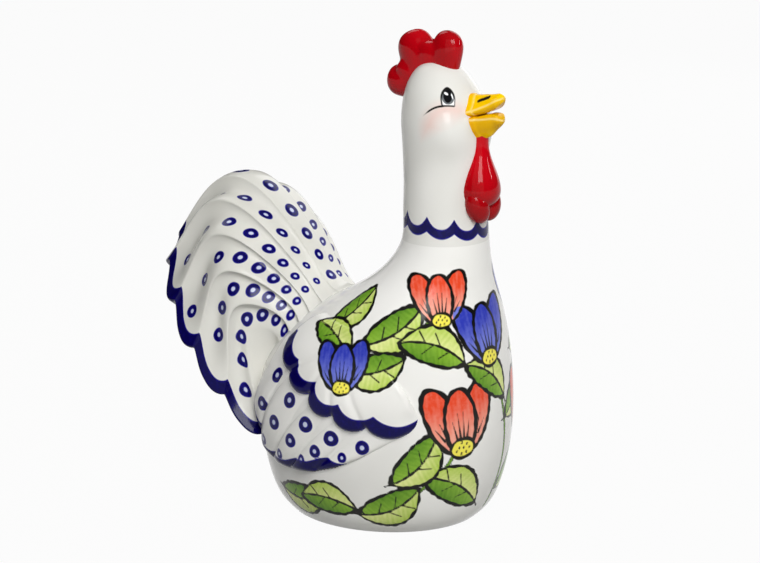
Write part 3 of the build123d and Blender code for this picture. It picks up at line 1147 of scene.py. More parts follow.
@dataclass
class HeadShell:
    """Hollow neck and head with soft cheeks, painted face and scalloped collar.

    An edge of the collar has its height, and the depth and sharpness of its scallops.
    """

    form: CastForm
    eye: Eye = Eye()
    columns: int = 330
    outer_rows: int = 210
    inner_rows: int = 14
    crown_gap: float = 1.2
    lining_gap: float = 14.0
    tip_rise: float = 0.02
    cheek_place: tuple = (55.0, 19.0, 241.0)
    cheek_spread: float = 9.5
    cheek_swell: float = 4.4
    cheek_drop: float = 6.0
    blush_side: tuple = (-0.45, 0.16, 0.88)
    blush_radius: float = 11.0
    blush_half: float = 2.5
    blush_start: float = 4.0
    scallops: int = 10
    scallop_start: float = 8.0
    collar_climb: float = 4.6 / 120  # towards the back, mm a degree
    collar_edges: tuple = ((179.8, 6.6, 2.4), (173.9, 3.6, 2.0))
    collar_slant: float = 0.85
    neck_middle: float = 40.5

    def build(self) -> Object:
        """Make and dress the head.

        Returns:
            The finished piece.
        """
        run, collar = self.form.spline()
        crown = run.knots[-1]
        turns = full_turn(self.columns)
        outer = run(np.linspace(collar, crown - self.crown_gap, self.outer_rows))
        inner = run(np.linspace(collar, crown - self.lining_gap, self.inner_rows))
        outside = self._swollen(self.form.around(outer, turns))
        inside = self.form.around(inner, turns, self.form.wall)
        inside[..., 2] = np.minimum(inside[..., 2], self.form.crown_height - self.form.wall)
        skin = Skin("head_skin")
        rows = skin.place(outside)
        lining = skin.place(inside)
        skin.ring(np.concatenate([lining[::-1], rows]))
        for numbers, places in ((rows, outside), (lining, inside)):
            skin.fan(numbers[-1], places[-1].mean(axis=0) + self.tip_rise * UP)
        piece = skin.build()
        piece.data.set_sharp_from_angle(angle=SHARP_ANGLE)
        self._paint(piece, skin.points)
        return finish_piece(piece, HEAD_GLAZE.material(), "white_glaze", "head_shell")

    def cheek_lift(self, points: Array, side: Side) -> Array:
        """How far one cheek stands out at places, mm."""
        away = points - np.array(self.cheek_place) * np.array([1, side.value, 1])
        return self.cheek_swell * bell(np.linalg.norm(away, axis=-1), math.sqrt(2) * self.cheek_spread)

    def _swollen(self, outside: Array) -> Array:
        """Swell the two cheeks.

        Args:
            outside: Places of the plain outside.

        Returns:
            The places with the cheeks.
        """
        middle = np.array([self.neck_middle, 0.0, self.cheek_place[2] - self.cheek_drop])
        for side in Side:
            outside = outside + self.cheek_lift(outside, side)[..., None] * unit(outside - middle)
        return outside

    def _paint(self, piece: Object, points: Array) -> None:
        """Paint the collar, the eyes and the blush.

        Args:
            piece: Piece to paint.
            points: Its places.
        """
        collar = self._collar(points)
        folded = mirrored(points)
        out = folded - np.array(self.cheek_place)
        crescent = np.abs(np.linalg.norm(out, axis=1) - self.blush_radius) - self.blush_half
        measures = {
            "wash": np.where(collar < WASH_MARGIN, cobalt_wash(collar), EVEN_WASH),
            Paint.COBALT.value: collar,
            "blush": np.maximum(crescent, self.blush_start - out @ np.array(self.blush_side)),
        }
        hold(piece, measures | self.eye.measures(folded))

    def _collar(self, points: Array) -> Array:
        """Measure the scalloped cobalt collar.

        Args:
            points: Places to measure.

        Returns:
            Signed distances, mm.
        """
        bearing = np.degrees(np.arctan2(points[:, 1], points[:, 0] - self.neck_middle))
        across = np.abs((bearing - self.scallop_start) / (360 / self.scallops) % 1 * 2 - 1)
        height = points[:, 2] - self.collar_climb * np.abs(bearing)
        upper, lower = (level + depth * across**power for level, depth, power in self.collar_edges)
        return np.maximum(height - upper, lower - height) * self.collar_slant


def flute_tree() -> NodeTree:
    """Build the node tree that hollows each tail feather under the edge of the one above it.

    Returns:
        The tree, with inputs for depth, sharpness, sweep and finish.
    """
    tree = bpy.data.node_groups.new("feather_flutes", "GeometryNodeTree")
    kinds = {"Geometry": "Geometry", "Finish": "Material"}
    for name in ("Geometry", "Flute Depth", "Edge Sharpness", "Sweep", "Finish"):
        socket = "NodeSocket" + kinds.get(name, "Float")
        tree.interface.new_socket(name, in_out="INPUT", socket_type=socket)
    tree.interface.new_socket("Geometry", in_out="OUTPUT", socket_type="NodeSocketGeometry")
    given = add(tree, "NodeGroupInput").outputs
    across, arm = (
        add(tree, "GeometryNodeInputNamedAttribute", {"Name": name}, data_type=kind).outputs[0]
        for name, kind in (("across", "FLOAT"), ("arm", "FLOAT_VECTOR"))
    )
    fall = sums(tree, "POWER", across, given["Edge Sharpness"])
    rise = sums(tree, "POWER", sums(tree, "SUBTRACT", 1.0, across), given["Sweep"])
    drop = sums(tree, "MULTIPLY", sums(tree, "MULTIPLY", fall, rise), given["Flute Depth"])
    sink = add(tree, "ShaderNodeVectorMath", {0: arm, "Scale": drop}, operation="SCALE").outputs[0]
    moved = {"Geometry": given["Geometry"], "Offset": sink}
    sunk = add(tree, "GeometryNodeSetPosition", moved).outputs[0]
    whole = add(tree, "GeometryNodeRealizeInstances", {"Geometry": sunk}).outputs[0]
    finish = {"Geometry": whole, "Material": given["Finish"]}
    dressed = add(tree, "GeometryNodeSetMaterial", finish).outputs[0]
    add(tree, "NodeGroupOutput", {"Geometry": dressed})
    return tree


@dataclass
class TailPlume:
    """Hollow plume of lapped feathers that rises from the back and droops to its rim."""

    form: CastForm
    root: tuple = (-38.87, 126.0)
    ridge: tuple = ((6.0, -9.0), (-66.0, 108.0), (-88.0, 58.0), (-113.0, 22.0))
    axis: tuple = ((5.0, -20.0), (-62.0, 42.0), (-48.0, -11.0), (-54.0, -44.0))
    half_widths: tuple = (18.0, 70.0, 43.0, 62.0)
    skirts: tuple = (45.0, 80.0, 80.0, 75.0)
    skirt_share: float = 0.65
    feathers: int = 11
    feather_angle: float = 22.9
    flute_depth: float = 0.4
    edge_sharpness: float = 0.65
    sweep: float = 1.7
    rim_quiet: float = 0.6
    quiet_start: float = 0.72
    ridge_lift: float = 4.5
    ridge_sharpness: float = 4.0
    ridge_start: float = 40.0
    tip_reach: float = 1.035
    tip_scallop: float = 0.06
    tip_sharpness: float = 2.4
    tip_band: tuple = (6.6, 2.6)  # cobalt at the middle of a feather, and more at its sides
    rim_band: float = 3.0
    flare: float = 10.5
    flare_height: float = 18.0
    flare_sharpness: float = 2.4
    flare_end: tuple = (0.98, 0.7)
    flare_ease: float = 0.3
    back_bulge: float = 6.75
    rim_round: float = 3.0
    rim_depth: float = 1.8
    back_middle: float = 0.02
    rows: int = 165
    feather_columns: int = 29
    column_crowding: float = 1.5
    skirt_columns: int = 8
    rim_rows: int = 6
    back_rows: int = 25
    even_turn: float = 1.0
    samples: int = 1500
    dot_samples: int = 900
    dot_seed: int = 7
    dot_start: tuple = (0.125, 0.018)  # share of the first dot on the ridge, and more a feather
    dot_end: float = 0.94
    dot_gaps: tuple = (0.055, 0.06, 0.11)  # gap at the root, and how it grows on the way
    dot_jitter: float = 0.004
    dot_radius: float = 2.3
    dot_growth: float = 1.9
    dot_growth_span: tuple = (0.12, 0.5)
    ridge_dot_growth: float = 1.0
    ridge_dot_gap: float = 1.22

    def build(self) -> Object:
        """Make and dress the plume.

        Returns:
            The finished piece.
        """
        share = self._even_shares()
        turns = self._turns()
        steps = np.abs(turns) / math.radians(self.feather_angle) + 0.5
        off_middle = np.abs(steps % 1 * 2 - 1)
        off_middle[[0, -1]] = 1.0
        reach = self.tip_reach - self.tip_scallop * off_middle**self.tip_sharpness
        plain, centres = self._arch(share[:, None] * reach, turns)
        arch = self._flared(plain, centres, share)
        foot = self._foot(share, arch)
        around = np.concatenate([arch, foot], axis=1)
        skin = Skin("tail_skin")
        rows = skin.place(around)
        back = self._back(around[-1])
        caps = skin.place(back)
        skin.ring(np.concatenate([rows, caps]))
        skin.fan(caps[-1], back[-1].mean(axis=0))
        skin.fan(rows[0], around[0].mean(axis=0))
        piece = skin.build()
        self._lay_flutes(piece, steps, centres - plain, around.shape[1])
        unflared = np.concatenate([plain, foot], axis=1).reshape(-1, 3)
        places = np.concatenate([unflared, skin.points[len(unflared) :]])
        self._paint(piece, places, plain, off_middle, around.shape[1])
        material = TAIL_GLAZE.material()
        self._flute(piece, material)
        return finish_piece(piece, material, "cobalt_feather_glaze", "tail_shell")

    def _turns(self) -> Array:
        """Spread the columns, closer together just under each feather's upper edge.

        Returns:
            Angles from the ridge towards the right, radians.
        """
        step = math.radians(self.feather_angle)
        part = (np.arange(self.feather_columns) / self.feather_columns) ** self.column_crowding
        half = self.feathers // 2
        right = np.concatenate([step * (number - 0.5 + part) for number in range(1, half + 1)])
        right = np.append(right, step * (half + 0.5))
        middle = np.linspace(-step / 2, step / 2, self.feather_columns + 1)[1:-1]
        return np.concatenate([-right[::-1], middle, right])

    def _even_shares(self) -> Array:
        """Spread the rows evenly along the feathers beside the ridge.

        Returns:
            Shares of the way from root to rim.
        """
        fine = np.linspace(0, 1, self.samples)
        centre, ridge, side = self._frames(fine)
        line = centre + ridge * math.cos(self.even_turn) + side * math.sin(self.even_turn)
        length = run_lengths(line)
        return np.interp(np.linspace(0, length[-1], self.rows), length, fine)

    def _frames(self, share: Array) -> tuple[Array, Array, Array]:
        """Centres, ridge arms and side arms of the arches.

        Args:
            share: Shares of the way from the root to the rim, in any shape.

        Returns:
            Three arrays with (forward, right, up) in the last axis.
        """
        flat = share.ravel()
        ridge, axis = bezier(self.ridge, flat), bezier(self.axis, flat)
        frames = np.zeros((3, len(flat), 3))
        frames[0][:, [0, 2]] = np.array(self.root) + axis
        frames[1][:, [0, 2]] = ridge - axis
        frames[2][:, 1] = bezier(self.half_widths, flat)[:, 0]
        centre, arm, across = frames.reshape((3,) + share.shape + (3,))
        return centre, arm, across

    def _arch(self, share: Array, turns: Array) -> tuple[Array, Array]:
        """Smooth arch of each row, before its flutes.

        Args:
            share: Shares by row and angle.
            turns: Angles from the ridge.

        Returns:
            Places by row and angle, and the centres that they turn about.
        """
        centre, ridge, side = self._frames(share)
        cosine, sine = np.cos(turns)[:, None], np.sin(turns)[:, None]
        arch = centre + ridge * cosine + side * sine
        along = np.linalg.norm(arch - arch[:1], axis=-1, keepdims=True)
        lift = self.ridge_lift * np.maximum(cosine, 0) ** self.ridge_sharpness
        return arch + unit(arch - centre) * smooth_step(0.0, self.ridge_start, along) * lift, centre

    def _flared(self, arch: Array, centre: Array, share: Array) -> Array:
        """Sweep the foot of the plume out on the body, as the potter's finger leaves it.

        Args:
            arch: Smooth arches.
            centre: Centres that they turn about.
            share: Shares of the rows.

        Returns:
            Arches that meet the body in a hollow curve.
        """
        top = self.form.collar_height
        level = self.form.reach(arch, top)[0]
        slope = np.stack([self.form.reach(arch + step, top)[0] - level for step in np.eye(3)], axis=-1)
        steep = np.linalg.norm(slope, axis=-1, keepdims=True)
        clear = (level[..., None] - 1) / steep
        normal = slope / steep
        out = unit(arch - centre)
        along = unit(out - np.sum(out * normal, axis=-1, keepdims=True) * normal, self.flare_ease)
        reach = self.flare * np.clip(1 - clear / self.flare_height, 0, 1) ** self.flare_sharpness
        return arch + along * reach * smooth_step(*self.flare_end, share)[:, None, None]

    def _foot(self, share: Array, arch: Array) -> Array:
        """Skirt that runs from one edge of the arch to the other, inside the body.

        Args:
            share: Shares of the rows.
            arch: Places of the arch.

        Returns:
            Places by row, from the right edge to the left one.
        """
        centre, ridge, side = self._frames(share)
        low = centre - unit(ridge) * bezier(self.skirts, share)
        wide = side * self.skirt_share
        corners = np.stack([arch[:, -1], low + wide, low - wide, arch[:, 0]], axis=1)
        steps = np.linspace(0, 3, 3 * self.skirt_columns + 1)[1:-1]
        whole = np.minimum(steps.astype(int), 2)
        part = (steps - whole)[None, :, None]
        return corners[:, whole] * (1 - part) + corners[:, whole + 1] * part

    def _back(self, rim: Array) -> Array:
        """Domed back of the plume, turned in round the rim.

        Args:
            rim: Places of the last row.

        Returns:
            Rows from the rim to the middle of the back.
        """
        centre, ridge, side = (arm[0] for arm in self._frames(np.ones(1)))
        onward = unit(np.cross(ridge, side))
        onward = -math.copysign(1.0, onward[0]) * onward
        inward = -unit(rim - centre)
        rows = []
        for turn in np.linspace(0, math.pi / 2, self.rim_rows + 1)[1:]:
            drawn = rim + inward * self.rim_round * (1 - math.cos(turn))
            rows.append(drawn + onward * self.rim_depth * math.sin(turn))
        lip = rows[-1]
        for keep in np.linspace(1, self.back_middle, self.back_rows + 1)[1:]:
            rows.append(centre + (lip - centre) * keep + onward * self.back_bulge * (1 - keep**2))
        return np.array(rows)

    def _lay_flutes(self, piece: Object, steps: Array, arms: Array, columns: int) -> None:
        """Store how far each point lies across its feather, and its arm to the middle.

        Args:
            piece: Smooth plume.
            steps: Feathers from the ridge for each column of the arch.
            arms: Arms from the arch to its centres, by row and column.
            columns: Places in a row, with the skirt.
        """
        shown = len(steps)
        across = np.ones((self.rows, columns))
        across[:, 1 : shown - 1] = np.where(steps < 1, 1.0, steps % 1)[1:-1]
        quiet = 1 - self.rim_quiet * smooth_step(self.quiet_start, 1.0, np.linspace(0, 1, self.rows))
        reaches = np.zeros((self.rows, columns, 3))
        reaches[:, :shown] = arms * quiet[:, None, None]
        fade = np.append(np.ones(self.rim_rows), np.linspace(1, 0, self.back_rows) ** 2)
        across = np.concatenate([across, np.broadcast_to(across[-1], (len(fade), columns))])
        reaches = np.concatenate([reaches, reaches[-1:] * fade[:, None, None]]).reshape(-1, 3)
        # The two points that close the back and the root stay where they are
        reaches = np.concatenate([reaches, np.zeros((2, 3))])
        model = to_model(reaches) - to_model(np.zeros(3))
        hold(piece, {"across": np.append(across, np.ones(2)), "arm": model})

    def _paint(self, piece: Object, places: Array, arch: Array, off_middle: Array, columns: int) -> None:
        """Paint the ringed dots and the cobalt tips.

        Args:
            piece: Piece to paint.
            places: Its places, before it was flared.
            arch: Those of the arch, by row and column.
            off_middle: How far each column lies from the middle of its feather, up to 1.
            columns: Places in a row, with the skirt.
        """
        line = np.linalg.norm(np.diff(arch, axis=0), axis=2)
        to_rim = np.concatenate([np.cumsum(line[::-1], axis=0)[::-1], np.zeros((1, arch.shape[1]))])
        tip = np.full((len(arch), columns), FAR)
        tip[:, : arch.shape[1]] = to_rim - (self.tip_band[0] + self.tip_band[1] * off_middle**2)
        back = np.linspace(0.5, FAR, self.back_rows - 1)
        caps = np.append(np.full(self.rim_rows + 1, -self.rim_band), back)
        tip = np.concatenate([tip.ravel(), np.repeat(caps, columns), np.full(2, FAR)])
        rings, hearts = self._dots(places)
        cobalt = np.minimum(tip, rings)
        paints = {Paint.COBALT.value: cobalt, Paint.MILK.value: hearts, "wash": cobalt_wash(cobalt)}
        hold(piece, paints)

    def _dots(self, points: Array) -> tuple[Array, Array]:
        """Signed distances to the rings painted down each feather, and to their hearts.

        Args:
            points: Places to measure.

        Returns:
            Distances to the rings and to the milky spots in them, mm.
        """
        rings, hearts = np.full(len(points), FAR), np.full(len(points), FAR)
        fine = np.linspace(0, 1, self.dot_samples)
        draw = np.random.default_rng(self.dot_seed)
        half = self.feathers // 2
        first, later = self.dot_start
        gap, more, most = self.dot_gaps
        for feather in range(-half, half + 1):
            turn = math.radians(feather * self.feather_angle)
            line = self._arch(fine[:, None], np.array([turn]))[0][:, 0]
            length = run_lengths(line)
            extra, spread = (0.0, 1.0) if feather else (self.ridge_dot_growth, self.ridge_dot_gap)
            share = first + later * abs(feather)
            while share < self.dot_end:
                grown = smooth_step(*self.dot_growth_span, share)
                radius = self.dot_radius + self.dot_growth * grown + extra
                spot = line[int(np.searchsorted(length, share * length[-1]))]
                ring, heart = ringed_dot(np.linalg.norm(points - spot, axis=1), radius)
                rings, hearts = np.minimum(rings, ring), np.minimum(hearts, heart)
                jitter = draw.uniform(-self.dot_jitter, self.dot_jitter)
                share += (gap + more * share + most * share**2 + jitter) * spread
        return rings, hearts

    def _flute(self, piece: Object, material: Material) -> None:
        """Hollow the feathers.

        Args:
            piece: Smooth plume with its measures.
            material: Finish that the flutes get.
        """
        tree = flute_tree()
        modifier = piece.modifiers.new("flutes", "NODES")
        modifier.node_group = tree
        names = {item.name: item.identifier for item in tree.interface.items_tree if item.in_out == "INPUT"}
        modifier[names["Flute Depth"]] = self.flute_depth
        modifier[names["Edge Sharpness"]] = self.edge_sharpness
        modifier[names["Sweep"]] = self.sweep
        modifier[names["Finish"]] = material
        settle(piece)


@dataclass
class FlankChart:
    """Flank rolled out flat, with signed distances to the parts of a wing on it, mm."""

    a: Array
    b: Array
    outline: Array
    covert: Array
    inner: Array
    grooves: list[Array]


@dataclass
class Wing:
    """Relief wing laid on the flank: flight feathers under a scalloped row of coverts.

    Its spots are (forward, up) on the flank, and a ringed dot's third value is its radius, mm.
    """

    form: CastForm
    side: Side
    fan: tuple = (14.0, 118.0)
    cusps: tuple = ((-37.0, 105.0), (-25.5, 93.0), (-7.8, 84.4), (9.1, 74.3), (29.7, 69.3), (56.5, 73.0))
    bulges: tuple = ((-34.1, 96.2), (-18.8, 84.2), (-3.4, 74.6), (18.2, 66.7), (44.5, 63.8))
    lower_edge: tuple = (
        (-62.0, 64.0), (-57.0, 52.0), (-50.0, 41.0), (-40.8, 36.0), (-24.2, 34.6), (-5.9, 36.9),
        (10.1, 42.4), (24.5, 49.3), (42.7, 61.0), (52.0, 67.0), (57.5, 73.0),
    )
    upper_edge: tuple = (
        (49.0, 92.0), (34.0, 110.0), (14.0, 124.0), (-14.0, 127.0), (-38.0, 119.0), (-51.5, 90.0),
    )
    grooves: tuple = (
        ((-22.0, 100.0), (-55.0, 46.0)), ((-4.8, 84.9), (-40.0, 38.0)),
        ((14.0, 80.0), (-24.0, 36.0)), ((31.0, 72.0), (-3.0, 40.0)),
    )
    dots: tuple = (
        (-38.3, 88.3, 4.4), (-49.5, 68.4, 4.2),
        (-22.9, 77.7, 4.6), (-34.4, 61.8, 4.3), (-46.0, 48.0, 3.4),
        (-9.3, 66.1, 4.7), (-20.1, 54.4, 4.0), (-29.8, 43.8, 2.9),
        (8.6, 60.7, 4.6), (-2.0, 51.5, 3.7), (-12.1, 44.6, 2.8),
        (27.6, 57.6, 4.1), (15.5, 50.2, 2.9),
    )
    bearings: tuple = (42.0, 148.0)
    heights: tuple = (29.0, 130.0)
    columns: int = 190
    step: float = 0.85
    samples: int = 2000
    margin: float = 1.2
    seat: float = 0.6
    back_depth: float = 2.4
    edge_round: float = 4.0
    root_rise: float = 1.4
    flight_rise: float = 5.0
    flight_length: float = 40.0
    groove_depth: float = 1.5
    groove_widths: tuple = (1.3, 5.0)
    covert_rise: float = 4.2
    covert_fade: tuple = (8.0, 38.0)
    lip_round: float = 3.2
    crease_depth: float = 0.9
    crease_width: float = 1.9
    front_fade: float = 16.0
    rear_fade: tuple = (-3.0, 12.0)
    least_rise: float = 0.25
    skirt: tuple = (0.5, 1.5)  # how steeply it falls outside the edge, and how far
    covert_front: float = 20.0
    covert_rear: tuple = (60.0, 112.0)
    covert_top: float = 150.0
    lobe_overlap: float = 8.0
    band_shift: tuple = (-4.6, 8.4)
    band_least: float = 2.6
    band_taper: tuple = (2.0, 16.0)
    band_end: tuple = (1.5, 0.7)  # where it ends behind the last cusp, and how slantwise
    low_band: float = 8.4
    low_band_reach: float = 3.0
    low_band_taper: float = 26.0
    low_band_thinning: float = 0.28
    low_band_inset: float = 0.8
    low_band_marks: tuple = ((24.0, 49.0), (-8.0, 36.0), (-36.0, 36.0))
    low_band_peak: tuple = (1.1, 4.5)

    def _unrolled(self, spots: tuple) -> Array:
        """Roll spots on the flank out flat.

        Args:
            spots: Rows that start with (forward, up).

        Returns:
            (length along the flank, up) rows, in mm.
        """
        forward, up = np.asarray(spots, float)[:, :2].T
        middle, depth = middles(self.form.at_height(up))
        turn = np.arccos(np.clip((forward - middle) / depth, -1, 1))
        return np.stack([self._length(turn), up], axis=-1)

    def _length(self, turn: Array) -> Array:
        """Length along the belly for bearings.

        Args:
            turn: Bearings from the front, radians.

        Returns:
            Lengths from the side towards the back, mm.
        """
        belly = self.form.belly
        fine = np.linspace(0, math.pi, self.samples)
        depth = (belly.front + belly.back) / 2
        speed = np.hypot(depth * np.sin(fine), belly.half_width * np.cos(fine))
        length = np.concatenate([[0], np.cumsum((speed[1:] + speed[:-1]) / 2 * np.diff(fine))])
        return np.interp(turn, fine, length) - np.interp(math.pi / 2, fine, length)

    def build(self) -> Object:
        """Make and dress the wing.

        Returns:
            The finished piece.
        """
        turns = np.linspace(*np.radians(self.bearings), self.columns)
        heights = np.arange(*self.heights, self.step)
        flank = self.form.around(self.form.at_height(heights), turns)
        chart = self._chart(*np.meshgrid(self._length(turns), heights))
        outward = unit(np.cross(np.gradient(flank, axis=1), np.gradient(flank, axis=0)))
        outward = outward * np.sign(outward[..., 1:2])
        raised = flank + outward * self._relief(chart)[..., None]
        for vectors in (raised, outward):
            vectors[..., 1] *= self.side.value
        name = f"{self.side.word}_wing"
        skin = Skin(f"{name}_skin")
        kept = chart.outline < self.margin
        keep = kept[:-1, :-1] & kept[1:, :-1] & kept[:-1, 1:] & kept[1:, 1:]
        skin.web(skin.place(raised), keep)
        piece = skin.build(closed=False)
        self._paint(piece, Canvas(self.form, skin.points, outward.reshape(-1, 3)), chart)
        self._close(piece)
        return finish_piece(piece, WING_GLAZE.material(), "cobalt_feather_glaze", name)

    def _chart(self, a: Array, b: Array) -> FlankChart:
        """Measure the parts of the wing on the flat flank.

        Args:
            a: Lengths along the flank.
            b: Heights.

        Returns:
            The chart.
        """
        outline = polygon(a, b, self._unrolled(self.lower_edge + self.upper_edge))
        inner = self._coverts(a - self.band_shift[0], b - self.band_shift[1])
        grooves = [segment(a, b, *self._unrolled(ends)) for ends in self.grooves]
        return FlankChart(a, b, outline, self._coverts(a, b), inner, grooves)

    def _coverts(self, a: Array, b: Array) -> Array:
        """Measure the coverts: a round lobe on each chord of the scallops, and all above.

        Args:
            a: Lengths along the flank.
            b: Heights.

        Returns:
            Signed distances to the scalloped edge, mm.
        """
        cusps = self._unrolled(self.cusps)
        top, (past, low) = self.covert_top, self.covert_rear
        front, rear = cusps[-1, 0] - self.covert_front, cusps[0, 0] + past
        covert = polygon(a, b, np.concatenate([cusps, [(front, top), (rear, top), (rear, low)]]))
        for left, right, bulge in zip(cusps, cusps[1:], self._unrolled(self.bulges)):
            chord, middle = right - left, (left + right) / 2
            half = np.linalg.norm(chord) / 2
            normal = np.array([-chord[1], chord[0]]) / (2 * half)
            normal = normal * math.copysign(1.0, np.dot(bulge - middle, normal))
            depth = np.dot(bulge - middle, normal)
            radius = (half**2 + depth**2) / (2 * depth)
            hub = middle + normal * (depth - radius)
            disc = np.hypot(a - hub[0], b - hub[1]) - radius
            above_chord = (middle[0] - a) * normal[0] + (middle[1] - b) * normal[1]
            covert = np.minimum(covert, np.maximum(disc, above_chord - self.lobe_overlap))
        return covert

    def _relief(self, chart: FlankChart) -> Array:
        """Height of the wing over the flank.

        Args:
            chart: Flat flank.

        Returns:
            Reliefs in mm, below zero outside the wing.
        """
        a, b, outline, covert = chart.a, chart.b, chart.outline, chart.covert
        root, front, first = self._unrolled((self.fan, self.lower_edge[-1], self.cusps[0]))
        edge = quarter_round(np.clip(-outline / self.edge_round, 0, 1))
        lip = np.clip(-covert / self.lip_round, 0, 1)
        flight = smooth_step(0.0, self.flight_length, covert)
        flight = self.root_rise + (self.flight_rise - self.root_rise) * flight
        for gap in chart.grooves:
            flight = flight - self.groove_depth * sum(bell(gap, width) for width in self.groove_widths)
        swell = 1 - smooth_step(*self.covert_fade, -covert)
        swell = swell * (1 - smooth_step(*(first[0] + end for end in self.rear_fade), a))
        raised = self.covert_rise * quarter_round(lip) * swell
        for cusp in self._unrolled(self.cusps[1:-1]):
            crease = bell(segment(a, b, cusp, (root + cusp) / 2), self.crease_width)
            raised = raised - self.crease_depth * crease * swell
        rise = np.where(covert < 0, np.maximum(raised, flight * (1 - lip)), flight)
        rise = rise * smooth_step(0.0, self.front_fade, np.hypot(a - front[0], b - front[1]))
        fall, reach = self.skirt
        skirt = -fall * np.clip(outline, 0, reach)
        return np.where(outline > 0, skirt, (rise + self.least_rise) * edge) - self.seat

    def _scallop_band(self, chart: FlankChart) -> Array:
        """Measure the cobalt band along the edge of the coverts.

        Args:
            chart: Flat flank.

        Returns:
            Signed distances, mm.
        """
        first, last = self._unrolled((self.cusps[0], self.cusps[-1]))[:, 0]
        least = self.band_least * smooth_step(*(last + end for end in self.band_taper), chart.a)
        ribbon = np.minimum(-chart.inner, -chart.covert - least)
        past, slant = self.band_end
        return np.maximum.reduce([chart.covert, ribbon, (chart.a - first - past) * slant])

    def _lower_band(self, chart: FlankChart) -> Array:
        """Measure the cobalt band along the tips of the flight feathers.

        Args:
            chart: Flat flank.

        Returns:
            Signed distances, mm.
        """
        end, middle, rear = self._unrolled(self.low_band_marks)[:, 0]
        taper = smooth_step(end, end + self.low_band_taper, chart.a)
        thinning = 1 - self.low_band_thinning * smooth_step(middle, rear, chart.a)
        width = self.low_band * taper * thinning - self.low_band_inset
        height, spread = self.low_band_peak
        for gap in chart.grooves:
            width = width + height * taper * bell(gap, spread)
        to_edge = polyline(chart.a, chart.b, self._unrolled(self.lower_edge))
        band = np.maximum(to_edge - width, -chart.covert)
        return np.where(chart.outline < self.low_band_reach, band, FAR)

    def _paint(self, piece: Object, canvas: Canvas, chart: FlankChart) -> None:
        """Brush the cobalt bands and rings, and the sprigs on the coverts.

        Args:
            piece: Piece to paint.
            canvas: Its points.
            chart: Flat flank.
        """
        everywhere = np.ones(chart.a.size, bool)
        for band in (self._scallop_band(chart), self._lower_band(chart)):
            canvas.lay(Paint.COBALT, band.ravel(), everywhere)
        for (across, up), dot in zip(self._unrolled(self.dots), self.dots):
            ring, heart = ringed_dot(np.hypot(chart.a - across, chart.b - up).ravel(), dot[2])
            canvas.lay(Paint.COBALT, ring, everywhere)
            canvas.lay(Paint.MILK, heart, everywhere)
        strokes = canvas.measures[Paint.COBALT.value]
        canvas.shade(cobalt_wash(strokes), strokes < WASH_MARGIN)
        for motif in GARDEN_PLAN:
            motif.paint(canvas)
        hold(piece, canvas.measures)

    def _close(self, piece: Object) -> None:
        """Turn the relief outwards and give it a back, seated in the wall.

        Args:
            piece: Open relief.
        """
        mesh = piece.data
        work = bmesh.new()
        work.from_mesh(mesh)
        bmesh.ops.delete(work, geom=[v for v in work.verts if not v.link_faces], context="VERTS")
        work.to_mesh(mesh)
        work.free()
        if sum(face.normal.x * face.area for face in mesh.polygons) * self.side.value > 0:
            mesh.flip_normals()
        wall = piece.modifiers.new("wall", "SOLIDIFY")
        wall.thickness = self.back_depth * MM
        wall.offset = -1.0
        settle(piece)


@dataclass
class Lobe:
    """Plump lobe of oval sections along a straight line."""

    start: tuple | Array
    end: tuple | Array
    half_width: float
    half_depth: float
    shape: tuple
    rows: int = 40
    columns: int = 48

    def add_to(self, skin: Skin) -> None:
        """Add the lobe to a skin as a closed form.

        Args:
            skin: Skin that takes it.
        """
        start, end = np.array(self.start, float), np.array(self.end, float)
        line, across = end - start, np.array([0.0, 1.0, 0.0])
        forward = np.cross(unit(line), across)
        shape = np.array(self.shape)
        knots = run_lengths(shape * np.array([np.linalg.norm(line), self.half_depth]))
        run = Spline(knots, shape)(np.linspace(0, knots[-1], self.rows))
        turns = full_turn(self.columns)
        wide = run[:, 1:] * self.half_width * np.cos(turns)
        deep = run[:, 1:] * self.half_depth * np.sin(turns)
        middle = start + run[:, :1] * line
        rows = skin.place(middle[:, None] + wide[..., None] * across + deep[..., None] * forward)
        skin.ring(rows)
        skin.fan(rows[0], start)
        skin.fan(rows[-1], end)


